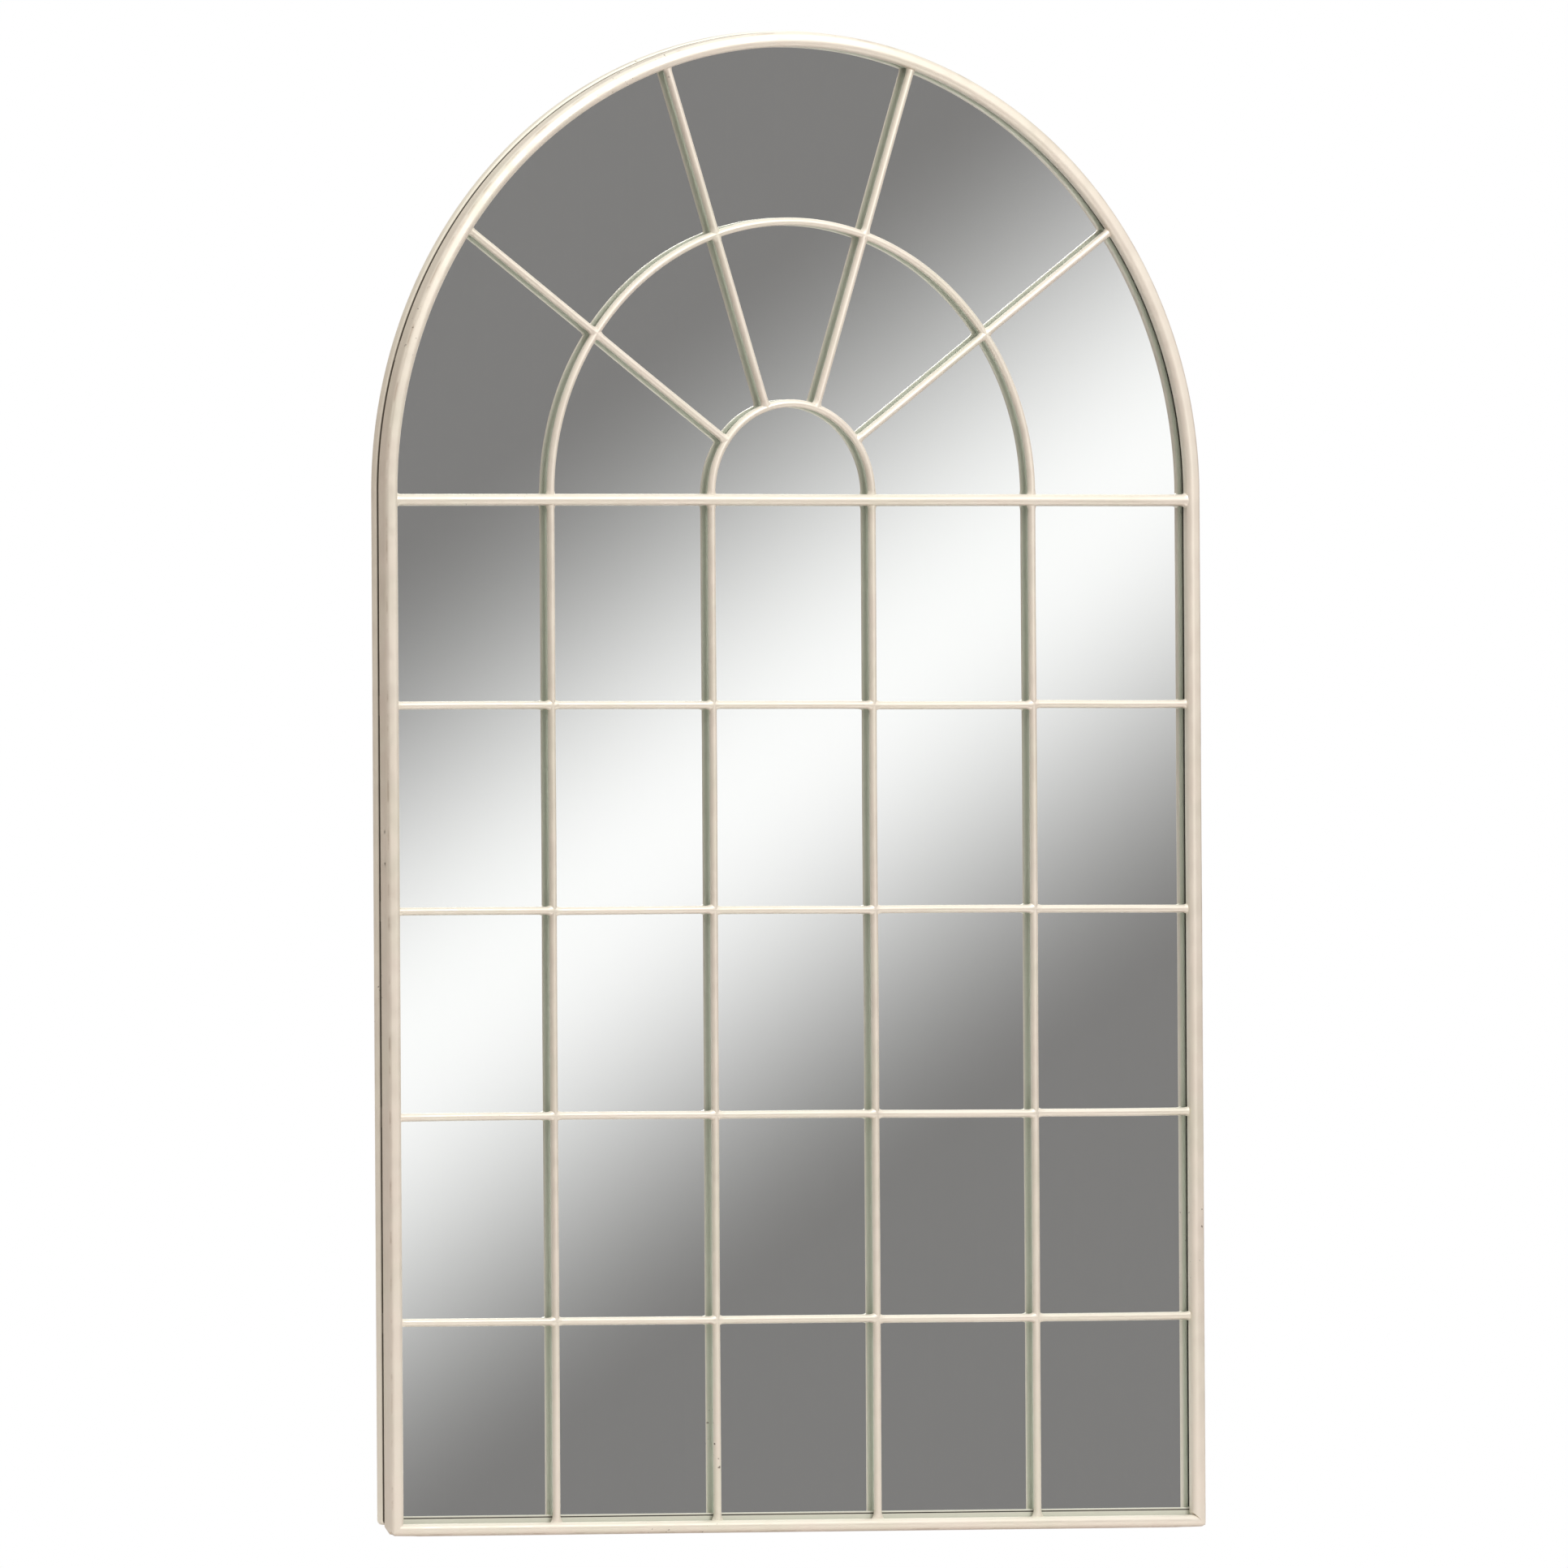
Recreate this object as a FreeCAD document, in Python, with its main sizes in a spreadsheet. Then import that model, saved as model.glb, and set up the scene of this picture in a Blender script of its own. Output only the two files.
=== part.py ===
import FreeCAD, Part
import Sketcher
import math
import os
import re

# Arched window mirror: a welded grille of round steel in front of one arched pane of mirror glass.
# Millimetres. +Z is up, +X is to the right seen from the front, and the front faces -Y.
# The origin is on the wall plane, at the middle of the rear rim's lower bar.

COLUMNS = 5
ROWS = 5
FAN_SECTORS = 5
LUG_ROWS = (0.5, 2.0, 3.5)
LUG_ANGLES = (30, 60, 90, 120, 150)
SIDES = {"left": -1, "right": 1}

# Driving sizes
SIZES = {
    # Grille
    "column_pitch": 218.0,
    "row_pitch": 245.6,
    "tube_dia": 18.0,
    "tube_wall": 1.5,
    "transom_dia": 14.0,
    "bar_dia": 9.5,
    "bar_setback": 3.0,
    "transom_setback": 1.5,
    "weld_gap": 0.1,
    # Pane, seal and backing
    "glass_thickness": 4.0,
    "glass_edge_gap": 1.0,
    "glass_seat": 2.0,
    "seal_thickness": 3.25,
    "seal_width": 10.0,
    "board_thickness": 4.0,
    "board_clearance": 0.5,
    # Skirt behind the outer tube, shadow gap and rear rim
    "skirt_thickness": 3.0,
    "skirt_lap": 2.5,
    "shadow_gap": 3.0,
    "rim_depth": 13.0,
    "rim_ledge": 2.0,
    "rail_drop": 5.0,
    "rim_corner": 6.0,
    "rim_round": 2.5,
    "spacer_length": 24.0,
    "spacer_inset": 0.5,
    "ledge_thickness": 3.0,
    "ledge_lap": 8.0,
    "ledge_end_gap": 44.0,
    # Lugs and screws that hold the board
    "screw_inset": 7.0,
    "lug_nose": 7.0,
    "lug_width": 16.0,
    "lug_thickness": 1.5,
    "screw_dia": 3.0,
    "screw_clearance": 0.1,
    "screw_head_dia": 6.0,
    "screw_head_height": 2.0,
    "screw_bite": 3.0,
    # Hangers
    "hanger_drop": 94.0,
    "hanger_clearance": 5.5,
    "tab_thickness": 1.5,
    "tab_margin": 6.0,
    "strap_width": 14.0,
    "strap_thickness": 1.0,
    "strap_margin": 3.0,
    "ring_wire": 3.0,
    "ring_radius": 13.0,
    "ring_corner": 3.5,
    "knuckle_clearance": 0.06,
    "knuckle_wall": 1.0,
    "knuckle_lap": 0.4,
    "rivet_dia": 4.0,
    "rivet_clearance": 0.05,
    "rivet_head_dia": 7.0,
    "rivet_head_height": 1.6,
    "rivet_margin": 2.5,
    "rivet_pitch": 11.0,
}

# Sizes that follow from the driving ones
DERIVED = {
    "tube_radius": "tube_dia / 2",
    "transom_radius": "transom_dia / 2",
    "bar_radius": "bar_dia / 2",
    "arch_radius": f"column_pitch * {COLUMNS} / 2",
    "middle_radius": "arch_radius - column_pitch",
    "small_radius": "middle_radius - column_pitch",
    "outline": "arch_radius + tube_radius",
    # Heights, from the middle of the rim's lower bar
    "rim_width": "rim_ledge + skirt_thickness + glass_edge_gap + glass_seat",
    "rim_sill": "-rim_width / 2",
    "rim_floor": "rim_width / 2",
    "rail_z": "rim_sill - rail_drop",
    "base_z": "rail_z - tube_radius",
    "transom_z": f"rail_z + row_pitch * {ROWS}",
    "springing": "transom_z + transom_radius",
    "seal_sill": "rim_sill + seal_width",
    "board_sill": "rim_floor + board_clearance",
    # Depths, from the wall towards the front
    "glass_back": "-rim_depth",
    "board_back": "glass_back + board_thickness",
    "glass_front": "glass_back - glass_thickness",
    "tube_back": "glass_front - seal_thickness",
    "tube_y": "tube_back - tube_radius",
    "bar_y": "tube_y + bar_setback",
    "transom_y": "tube_y + transom_setback",
    "skirt_back": "glass_back - shadow_gap",
    "skirt_depth": "skirt_back - tube_y - skirt_lap",
    # Half widths of the arched outlines
    "glass_half": "outline - skirt_thickness - glass_edge_gap",
    "seal_half": "glass_half - seal_width",
    "rim_half": "outline + rim_ledge",
    "rim_inner": "rim_half - rim_width",
    "board_half": "rim_inner - board_clearance",
    "ledge_half": "outline - ledge_end_gap",
    "ledge_front": "bar_y + bar_radius + weld_gap",
    # Lug, past its screw, and hanger
    "lug_length": "screw_inset + lug_nose",
    "tab_back": "board_back + tab_thickness",
    "strap_back": "tab_back + strap_thickness",
    "wire_radius": "ring_wire / 2",
    "bore_radius": "wire_radius + knuckle_clearance",
    "knuckle_radius": "bore_radius + knuckle_wall",
    "knuckle_y": "strap_back + knuckle_radius - knuckle_lap",
    "knuckle_z": "springing - hanger_drop",
    "hanger_inset": "ring_radius + wire_radius + hanger_clearance",
    "hanger_x": "rim_inner - hanger_inset",
    "rivet_first": "ring_corner + ring_radius + wire_radius + rivet_margin + rivet_head_dia / 2",
    "strap_length": "rivet_first + rivet_pitch + rivet_head_dia / 2 + strap_margin",
}

# Directions that a primitive's own axis can be turned to
ALONG_X = FreeCAD.Rotation(FreeCAD.Vector(0, 1, 0), 90)
ALONG_Y = FreeCAD.Rotation(FreeCAD.Vector(1, 0, 0), -90)
UPRIGHT = FreeCAD.Rotation()
FACING_FRONT = FreeCAD.Rotation(FreeCAD.Vector(1, 0, 0), 90)

doc = FreeCAD.newDocument("window_mirror")
sheet = doc.addObject("Spreadsheet::Sheet", "Sizes")
ALIASES = list(SIZES) + list(DERIVED)
ALIAS_WORD = re.compile(r"\b(" + "|".join(ALIASES) + r")\b")
pieces = []


def fill_sheet():
    """Write each size to a cell of its own, named by its alias."""
    for row, alias in enumerate(ALIASES, start=1):
        content = str(SIZES[alias]) if alias in SIZES else "=" + DERIVED[alias]
        sheet.set(f"A{row}", alias.replace("_", " "))
        sheet.set(f"B{row}", content)
        sheet.setAlias(f"B{row}", alias)
    doc.recompute()


def bind(obj, **formulas):
    """Tie properties of an object to the sheet; a double underscore stands for a dot."""
    for name, formula in formulas.items():
        obj.setExpression(name.replace("__", "."), ALIAS_WORD.sub(r"Sizes.\1", formula))


def place(obj, rotation, x, y, z):
    """Turn an object and tie its place to the sheet."""
    obj.Placement = FreeCAD.Placement(FreeCAD.Vector(), rotation)
    bind(obj, Placement__Base__x=x, Placement__Base__y=y, Placement__Base__z=z)


def about_y(angle):
    """Rotation in the plane of the grille, in degrees, counter-clockwise seen from the front."""
    return FreeCAD.Rotation(FreeCAD.Vector(0, 1, 0), -angle)


def rod(name, radius, length, rotation, x, y, z):
    """Round bar that starts at a point and runs along the turned axis."""
    obj = doc.addObject("Part::Cylinder", name)
    bind(obj, Radius=radius, Height=length)
    place(obj, rotation, x, y, z)
    return obj


def block(name, length, width, height, rotation, x, y, z):
    """Rectangular block from its lowest corner."""
    obj = doc.addObject("Part::Box", name)
    bind(obj, Length=length, Width=width, Height=height)
    place(obj, rotation, x, y, z)
    return obj


def half_hoop(name, major, minor, y):
    """Round bar bent to a half circle about the middle of the springing line."""
    obj = doc.addObject("Part::Torus", name)
    bind(obj, Radius1=major, Radius2=minor)
    obj.Angle3 = 180
    place(obj, FACING_FRONT, "0", y, "springing")
    return obj


def half_disc(name, radius, depth, y):
    """Half-round plate about the middle of the springing line, its rear face at y."""
    obj = doc.addObject("Part::Cylinder", name)
    bind(obj, Radius=radius, Height=depth)
    obj.Angle = 180
    place(obj, FACING_FRONT, "0", y, "springing")
    return obj


def fuse(name, shapes):
    """Join shapes to one."""
    obj = doc.addObject("Part::MultiFuse", name)
    obj.Shapes = shapes
    return obj


def cut(name, base, tool):
    """Take one shape from another."""
    obj = doc.addObject("Part::Cut", name)
    obj.Base = base
    obj.Tool = tool
    return obj


def group(name, shapes):
    """Keep separate solids together as one piece."""
    obj = doc.addObject("Part::Compound", name)
    obj.Links = shapes
    return obj


def piece(obj, label):
    """Name a finished piece and list it for export."""
    obj.Label = label
    pieces.append(obj)
    return obj


def size(alias):
    """Read a size from the sheet."""
    return float(sheet.get(alias))


# Arched plates and rings

def arched_sketch(body, name, half_width, sill):
    """Outline with a flat sill, upright sides and a half-round head, fully constrained."""
    sketch = body.newObject("Sketcher::SketchObject", name)
    planes = [plane for plane in body.Origin.OriginFeatures if plane.Role == "XZ_Plane"]
    sketch.AttachmentSupport = [(planes[0], "")]
    sketch.MapMode = "FlatFace"
    reach = size(half_width)
    foot = size(sill)
    spring = size("springing")
    right_foot = FreeCAD.Vector(reach, foot, 0)
    left_foot = FreeCAD.Vector(-reach, foot, 0)
    right_spring = FreeCAD.Vector(reach, spring, 0)
    left_spring = FreeCAD.Vector(-reach, spring, 0)
    circle = Part.Circle(FreeCAD.Vector(0, spring, 0), FreeCAD.Vector(0, 0, 1), reach)
    bottom = sketch.addGeometry(Part.LineSegment(left_foot, right_foot))
    right = sketch.addGeometry(Part.LineSegment(right_foot, right_spring))
    head = sketch.addGeometry(Part.ArcOfCircle(circle, 0, math.pi))
    left = sketch.addGeometry(Part.LineSegment(left_spring, left_foot))
    start, end, centre = 1, 2, 3
    origin, upright_axis = -1, -2
    sketch.addConstraint(Sketcher.Constraint("Coincident", bottom, end, right, start))
    sketch.addConstraint(Sketcher.Constraint("Tangent", right, end, head, start))
    sketch.addConstraint(Sketcher.Constraint("Tangent", head, end, left, start))
    sketch.addConstraint(Sketcher.Constraint("Coincident", left, end, bottom, start))
    sketch.addConstraint(Sketcher.Constraint("Horizontal", bottom))
    sketch.addConstraint(Sketcher.Constraint("Vertical", right))
    sketch.addConstraint(Sketcher.Constraint("Vertical", left))
    sketch.addConstraint(Sketcher.Constraint("PointOnObject", head, centre, upright_axis))
    named = {
        "half_width": (Sketcher.Constraint("Radius", head, reach), half_width),
        "spring": (Sketcher.Constraint("DistanceY", origin, start, head, centre, spring), "springing"),
        "rise": (Sketcher.Constraint("DistanceY", bottom, start, head, centre, spring - foot),
                 f"springing - {sill}"),
    }
    for constraint_name, (constraint, formula) in named.items():
        index = sketch.addConstraint(constraint)
        sketch.renameConstraint(index, constraint_name)
        bind(sketch, **{f"Constraints__{constraint_name}": formula})
    return sketch


def arched_plate(name, half_width, sill, back, thickness):
    """Arched plate whose rear face lies at back."""
    body = doc.addObject("PartDesign::Body", name)
    bind(body, Placement__Base__y=back)
    pad = body.newObject("PartDesign::Pad", name + "_pad")
    pad.Profile = arched_sketch(body, name + "_outline", half_width, sill)
    bind(pad, Length=thickness)
    doc.recompute()
    return body


def open_middle(body, name, half_width, sill):
    """Cut an arched window right through a plate, which leaves a ring."""
    solid = body.Shape.Volume
    pocket = body.newObject("PartDesign::Pocket", name + "_window")
    pocket.Profile = arched_sketch(body, name + "_inner_outline", half_width, sill)
    pocket.Type = "ThroughAll"
    pocket.Reversed = True
    doc.recompute()
    if body.Shape.Volume >= solid:
        raise RuntimeError(f"{name}: the window cuts nothing")


def round_edges(body, name, radius, chosen):
    """Round the edges of a body that a test picks."""
    base = body.Tip
    names = [f"Edge{index}" for index, edge in enumerate(base.Shape.Edges, start=1) if chosen(edge)]
    fillet = body.newObject("PartDesign::Fillet", name)
    fillet.Base = (base, names)
    bind(fillet, Radius=radius)
    doc.recompute()


# Grille

def outer_tube():
    """Arch, two stiles and bottom rail of round tube, mitred at the two lower corners."""
    arch_outside = half_hoop("arch_outside", "arch_radius", "tube_radius", "tube_y")
    arch_bore = half_hoop("arch_bore", "arch_radius", "tube_radius - tube_wall", "tube_y")
    piece(cut("arch_cut", arch_outside, arch_bore), "arch_tube")

    # Wedges that leave a mitre from the outer lower corner to the inner upper one
    far = "2 * tube_dia"
    wedge = ("6 * tube_dia", "6 * tube_dia", "3 * tube_dia")
    depth = "tube_y - 3 * tube_dia"
    rail_wedges = []
    for side, sign in SIDES.items():
        outer_x = f"{sign} * (arch_radius + {far})"
        inner_x = f"{sign} * (arch_radius - {far})"
        low_z = f"rail_z - {far}"
        high_z = f"rail_z + {far}"
        inwards = about_y(-135) if sign < 0 else about_y(135)
        outwards = about_y(45) if sign < 0 else about_y(-45)
        stile_x, stile_z = (inner_x, high_z) if sign < 0 else (outer_x, low_z)
        rail_x, rail_z = (outer_x, low_z) if sign < 0 else (inner_x, high_z)
        stile_wedge = block(f"{side}_stile_wedge", *wedge, inwards, stile_x, depth, stile_z)
        rail_wedges.append(block(f"{side}_rail_wedge", *wedge, outwards, rail_x, depth, rail_z))
        axis_x = f"{sign} * arch_radius"
        run = ("springing - base_z", UPRIGHT, axis_x, "tube_y", "base_z")
        outside = rod(f"{side}_stile_outside", "tube_radius", *run)
        bore = rod(f"{side}_stile_bore", "tube_radius - tube_wall", *run)
        tube = cut(f"{side}_stile_tube", outside, bore)
        piece(cut(f"{side}_stile_cut", tube, stile_wedge), f"{side}_stile")

    run = ("2 * outline", ALONG_X, "-outline", "tube_y", "rail_z")
    outside = rod("rail_outside", "tube_radius", *run)
    bore = rod("rail_bore", "tube_radius - tube_wall", *run)
    tube = cut("rail_tube", outside, bore)
    piece(cut("rail_cut", tube, fuse("rail_wedges", rail_wedges)), "bottom_rail")


def coping_tools():
    """Cutters that hollow the end of a bar to the round bar it is welded to."""
    tube = "tube_radius + weld_gap"
    bar = "bar_radius + weld_gap"
    uprights = []
    for index in range(COLUMNS + 1):
        outer = index in (0, COLUMNS)
        uprights.append(rod(
            f"cope_upright_{index}", tube if outer else bar, "springing - base_z + row_pitch", UPRIGHT,
            f"{index} * column_pitch - arch_radius", "tube_y" if outer else "bar_y", "base_z"))
    rail = rod("cope_rail", tube, "2 * outline", ALONG_X, "-outline", "tube_y", "rail_z")
    transom = rod("cope_transom", "transom_radius + weld_gap", "2 * outline", ALONG_X,
                  "-outline", "transom_y", "transom_z")
    arch = half_hoop("cope_arch", "arch_radius", tube, "tube_y")
    middle = half_hoop("cope_middle_arc", "middle_radius", bar, "bar_y")
    small = half_hoop("cope_small_arc", "small_radius", bar, "bar_y")
    return {
        "rail": rail,
        "transom": transom,
        "columns": [fuse(f"cope_column_{index + 1}", uprights[index:index + 2]) for index in range(COLUMNS)],
        "width": fuse("cope_width", [uprights[0], uprights[-1]]),
        "height": fuse("cope_height", [rail, transom]),
        "inner_fan": fuse("cope_inner_fan", [small, middle]),
        "outer_fan": fuse("cope_outer_fan", [middle, arch]),
    }


def straight_bars(copes):
    """Transom, upright bars and the short cross bars between them."""
    transom = rod("transom_rod", "transom_radius", "2 * arch_radius", ALONG_X,
                  "-arch_radius", "transom_y", "transom_z")
    piece(cut("transom_cut", transom, copes["width"]), "transom")
    for index in range(1, COLUMNS):
        upright = rod(f"upright_rod_{index}", "bar_radius", "transom_z - rail_z", UPRIGHT,
                      f"{index} * column_pitch - arch_radius", "bar_y", "rail_z")
        piece(cut(f"upright_cut_{index}", upright, copes["height"]), f"upright_bar_{index}")
    for row in range(1, ROWS):
        for column in range(COLUMNS):
            name = f"row_{row}_column_{column + 1}"
            bar = rod(f"cross_rod_{name}", "bar_radius", "column_pitch", ALONG_X,
                      f"{column} * column_pitch - arch_radius", "bar_y", f"rail_z + {row} * row_pitch")
            piece(cut(f"cross_cut_{name}", bar, copes["columns"][column]), f"cross_bar_{name}")


def fanlight(copes):
    """Two concentric arcs with short feet on the transom, and the spokes between them and the arch."""
    for label in ("small", "middle"):
        parts = [half_hoop(f"{label}_hoop", f"{label}_radius", "bar_radius", "bar_y")]
        for side, sign in SIDES.items():
            parts.append(rod(f"{label}_{side}_foot", "bar_radius", "springing - transom_z", UPRIGHT,
                             f"{sign} * {label}_radius", "bar_y", "transom_z"))
        arc = fuse(f"{label}_bent_bar", parts)
        piece(cut(f"{label}_cut", arc, copes["transom"]), f"{label}_arc")
    rings = {"inner": ("small_radius", "inner_fan"), "outer": ("middle_radius", "outer_fan")}
    for spoke in range(1, FAN_SECTORS):
        angle = spoke * 180 / FAN_SECTORS
        for label, (start, cope) in rings.items():
            bar = rod(f"{label}_spoke_rod_{spoke}", "bar_radius", "column_pitch", about_y(angle - 90),
                      f"{start} * cos({angle})", "bar_y", f"springing + {start} * sin({angle})")
            piece(cut(f"{label}_spoke_cut_{spoke}", bar, copes[cope]), f"{label}_spoke_{spoke}")


# Skirt, pane and rear rim

def skirt():
    """Flat strip behind the outer tube, hollowed to sit on it, with slanted lower ends."""
    front = "skirt_back - skirt_depth"
    ring = cut("arch_skirt_ring", half_disc("arch_skirt_outside", "outline", "skirt_depth", "skirt_back"),
               half_disc("arch_skirt_inside", "outline - skirt_thickness", "skirt_depth", "skirt_back"))
    hoop = half_hoop("arch_skirt_seat", "arch_radius", "tube_radius + weld_gap", "tube_y")
    piece(cut("arch_skirt_cut", ring, hoop), "arch_skirt")
    slant = FreeCAD.Rotation(FreeCAD.Vector(1, 0, 0), 225)
    for side, sign in SIDES.items():
        inner_x = "outline - skirt_thickness" if sign > 0 else "-outline"
        strip = block(f"{side}_skirt_strip", "skirt_thickness", "skirt_depth", "springing - base_z",
                      UPRIGHT, inner_x, front, "base_z")
        seat = rod(f"{side}_skirt_seat", "tube_radius + weld_gap", "springing - base_z", UPRIGHT,
                   f"{sign} * arch_radius", "tube_y", "base_z")
        foot = block(f"{side}_skirt_foot", "3 * skirt_thickness", "6 * skirt_depth", "3 * skirt_depth",
                     slant, f"{inner_x} - skirt_thickness", "skirt_back + 2 * skirt_depth",
                     "rim_sill + 2 * skirt_depth")
        piece(cut(f"{side}_skirt_cut", strip, fuse(f"{side}_skirt_waste", [seat, foot])), f"{side}_skirt")


def pane(copes):
    """Mirror glass on its ledge, with the seal in front of it."""
    piece(arched_plate("glass", "glass_half", "rim_sill", "glass_back", "glass_thickness"), "mirror_glass")
    seal = arched_plate("seal", "glass_half", "rim_sill", "glass_front", "seal_thickness - weld_gap")
    open_middle(seal, "seal", "seal_half", "seal_sill")
    piece(seal, "glazing_seal")
    shelf = block("ledge_plate", "2 * ledge_half", "ledge_lap - rim_depth - ledge_front", "ledge_thickness",
                  UPRIGHT, "-ledge_half", "ledge_front", "rim_sill - ledge_thickness")
    piece(cut("ledge_cut", shelf, copes["rail"]), "glass_ledge")


def rear_rim():
    """Ring that stands off the wall, with round lower corners and soft outer edges."""
    rim = arched_plate("rim", "rim_half", "rim_sill", "0", "rim_depth")
    sill = size("rim_sill")
    depth = size("rim_depth")
    near = size("weld_gap")

    def is_corner(edge):
        across = edge.BoundBox.YLength > depth - near
        return across and edge.CenterOfMass.z < sill + near

    def is_outer(edge):
        return edge.BoundBox.YLength < near

    round_edges(rim, "rim_corners", "rim_corner", is_corner)
    round_edges(rim, "rim_edges", "rim_round", is_outer)
    open_middle(rim, "rim", "rim_inner", "rim_floor")
    piece(rim, "rear_rim")


# Stations around the rim: each gives the place of a point that lies inwards of the rim's inner face

def side_station(sign, row):
    """Station on a side, at a height counted in rows."""
    height = f"rail_z + {row} * row_pitch"
    return (0 if sign > 0 else 180), lambda inset: (f"{sign} * (rim_inner - ({inset}))", height)


def arch_station(angle):
    """Station on the arch, at an angle from the right-hand springing."""
    return angle, lambda inset: (f"(rim_inner - ({inset})) * cos({angle})",
                                 f"springing + (rim_inner - ({inset})) * sin({angle})")


def sill_station(sign):
    """Station on the sill, one column from the middle."""
    return -90, lambda inset: (f"{sign} * column_pitch", f"rim_floor + ({inset})")


def station_block(name, station, near, far, width, y, thickness):
    """Block across a station, from the inset far to the inset near."""
    angle, point = station
    x, z = point(far)
    corner_x = f"{x} + {width} / 2 * sin({angle})"
    corner_z = f"{z} - {width} / 2 * cos({angle})"
    return block(name, f"{far} - ({near})", thickness, width, about_y(angle), corner_x, y, corner_z)


def rim_spacers():
    """Short welded blocks that hold the rim off the skirt and leave the shadow gap."""
    stations = [side_station(sign, row) for sign in SIDES.values() for row in range(1, ROWS)]
    stations += [arch_station((sector + 0.5) * 180 / FAN_SECTORS) for sector in range(FAN_SECTORS)]
    blocks = []
    for index, station in enumerate(stations):
        blocks.append(station_block(
            f"spacer_{index}", station, "rim_inner - outline + spacer_inset",
            "rim_inner - outline + skirt_thickness", "spacer_length", "skirt_back", "shadow_gap"))
    piece(group("spacers", blocks), "rim_spacers")


def backing():
    """Board behind the glass, and the lugs and screws that hold it in the rim."""
    stations = [side_station(sign, row) for sign in SIDES.values() for row in LUG_ROWS]
    stations += [arch_station(angle) for angle in LUG_ANGLES]
    stations += [sill_station(sign) for sign in SIDES.values()]
    lugs = []
    screws = []
    pilots = []
    for index, station in enumerate(stations):
        x, z = station[1]("screw_inset")
        plate = station_block(f"lug_plate_{index}", station, "weld_gap", "lug_length", "lug_width",
                              "board_back", "lug_thickness")
        hole = rod(f"pilot_{index}", "screw_dia / 2 + screw_clearance", "board_thickness + lug_thickness",
                   ALONG_Y, x, "glass_back", z)
        shank = rod(f"screw_shank_{index}", "screw_dia / 2", "screw_bite + lug_thickness",
                    ALONG_Y, x, "board_back - screw_bite", z)
        head = rod(f"screw_head_{index}", "screw_head_dia / 2", "screw_head_height",
                   ALONG_Y, x, "board_back + lug_thickness", z)
        lugs.append(cut(f"lug_{index}", plate, hole))
        screws.append(fuse(f"screw_{index}", [shank, head]))
        pilots.append(hole)
    sheet_of_board = arched_plate("board", "board_half", "board_sill", "board_back", "board_thickness")
    piece(cut("board_cut", sheet_of_board, group("pilots", pilots)), "backing_board")
    piece(group("lugs", lugs), "board_lugs")
    piece(group("screws", screws), "board_screws")


# Hangers

def hanging_ring(side, x):
    """Ring of round wire with a straight bar in the knuckle, hanging down."""
    bar_half = "(ring_radius - ring_corner)"
    bar = rod(f"{side}_ring_bar", "wire_radius", f"2 * {bar_half}", ALONG_X,
              f"{x} - {bar_half}", "knuckle_y", "knuckle_z")
    bow = doc.addObject("Part::Torus", f"{side}_ring_bow")
    bind(bow, Radius1="ring_radius", Radius2="wire_radius")
    bow.Angle3 = 180
    downwards = about_y(180).multiply(FACING_FRONT)
    place(bow, downwards, x, "knuckle_y", "knuckle_z - ring_corner")
    shapes = [bar, bow]
    for end, sign, turn in (("outer", 1, 0), ("inner", -1, 90)):
        corner = doc.addObject("Part::Torus", f"{side}_ring_{end}_corner")
        bind(corner, Radius1="ring_corner", Radius2="wire_radius")
        corner.Angle3 = 90
        place(corner, about_y(turn).multiply(FACING_FRONT), f"{x} + {sign} * {bar_half}",
              "knuckle_y", "knuckle_z - ring_corner")
        shapes.append(corner)
    piece(fuse(f"{side}_ring", shapes), f"{side}_hanger_ring")


def hangers():
    """Welded tab, riveted strap with its knuckle and a loose ring, on each side of the back."""
    rivets = []
    for side, sign in SIDES.items():
        x = f"{sign} * hanger_x"
        tab_reach = "(hanger_inset + strap_width / 2 + tab_margin)"
        tab_x = f"rim_inner - {tab_reach}" if sign > 0 else "weld_gap - rim_inner"
        tab_foot = "knuckle_z - strap_length - tab_margin"
        tab = block(f"{side}_tab_plate", f"{tab_reach} - weld_gap", "tab_thickness",
                    "strap_length + 2 * tab_margin", UPRIGHT, tab_x, "board_back", tab_foot)
        plate = block(f"{side}_strap_plate", "strap_width", "strap_thickness", "strap_length",
                      UPRIGHT, f"{x} - strap_width / 2", "tab_back", "knuckle_z - strap_length")
        knuckle = rod(f"{side}_knuckle", "knuckle_radius", "strap_width", ALONG_X,
                      f"{x} - strap_width / 2", "knuckle_y", "knuckle_z")
        bore = rod(f"{side}_knuckle_bore", "bore_radius", "strap_width", ALONG_X,
                   f"{x} - strap_width / 2", "knuckle_y", "knuckle_z")
        holes = []
        for index in range(2):
            z = f"knuckle_z - rivet_first - {index} * rivet_pitch"
            holes.append(rod(f"{side}_rivet_hole_{index}", "rivet_dia / 2 + rivet_clearance",
                             "tab_thickness + strap_thickness", ALONG_Y, x, "board_back", z))
            shank = rod(f"{side}_rivet_shank_{index}", "rivet_dia / 2", "tab_thickness + strap_thickness",
                        ALONG_Y, x, "board_back", z)
            head = rod(f"{side}_rivet_head_{index}", "rivet_head_dia / 2", "rivet_head_height",
                       ALONG_Y, x, "strap_back", z)
            rivets.append(fuse(f"{side}_rivet_{index}", [shank, head]))
        drilled = fuse(f"{side}_rivet_holes", holes)
        piece(cut(f"{side}_tab", tab, drilled), f"{side}_hanger_tab")
        strap = fuse(f"{side}_strap_blank", [plate, knuckle])
        waste = fuse(f"{side}_strap_waste", [bore, drilled])
        piece(cut(f"{side}_strap", strap, waste), f"{side}_hanger_strap")
        hanging_ring(side, x)
    piece(group("rivets", rivets), "hanger_rivets")


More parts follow.
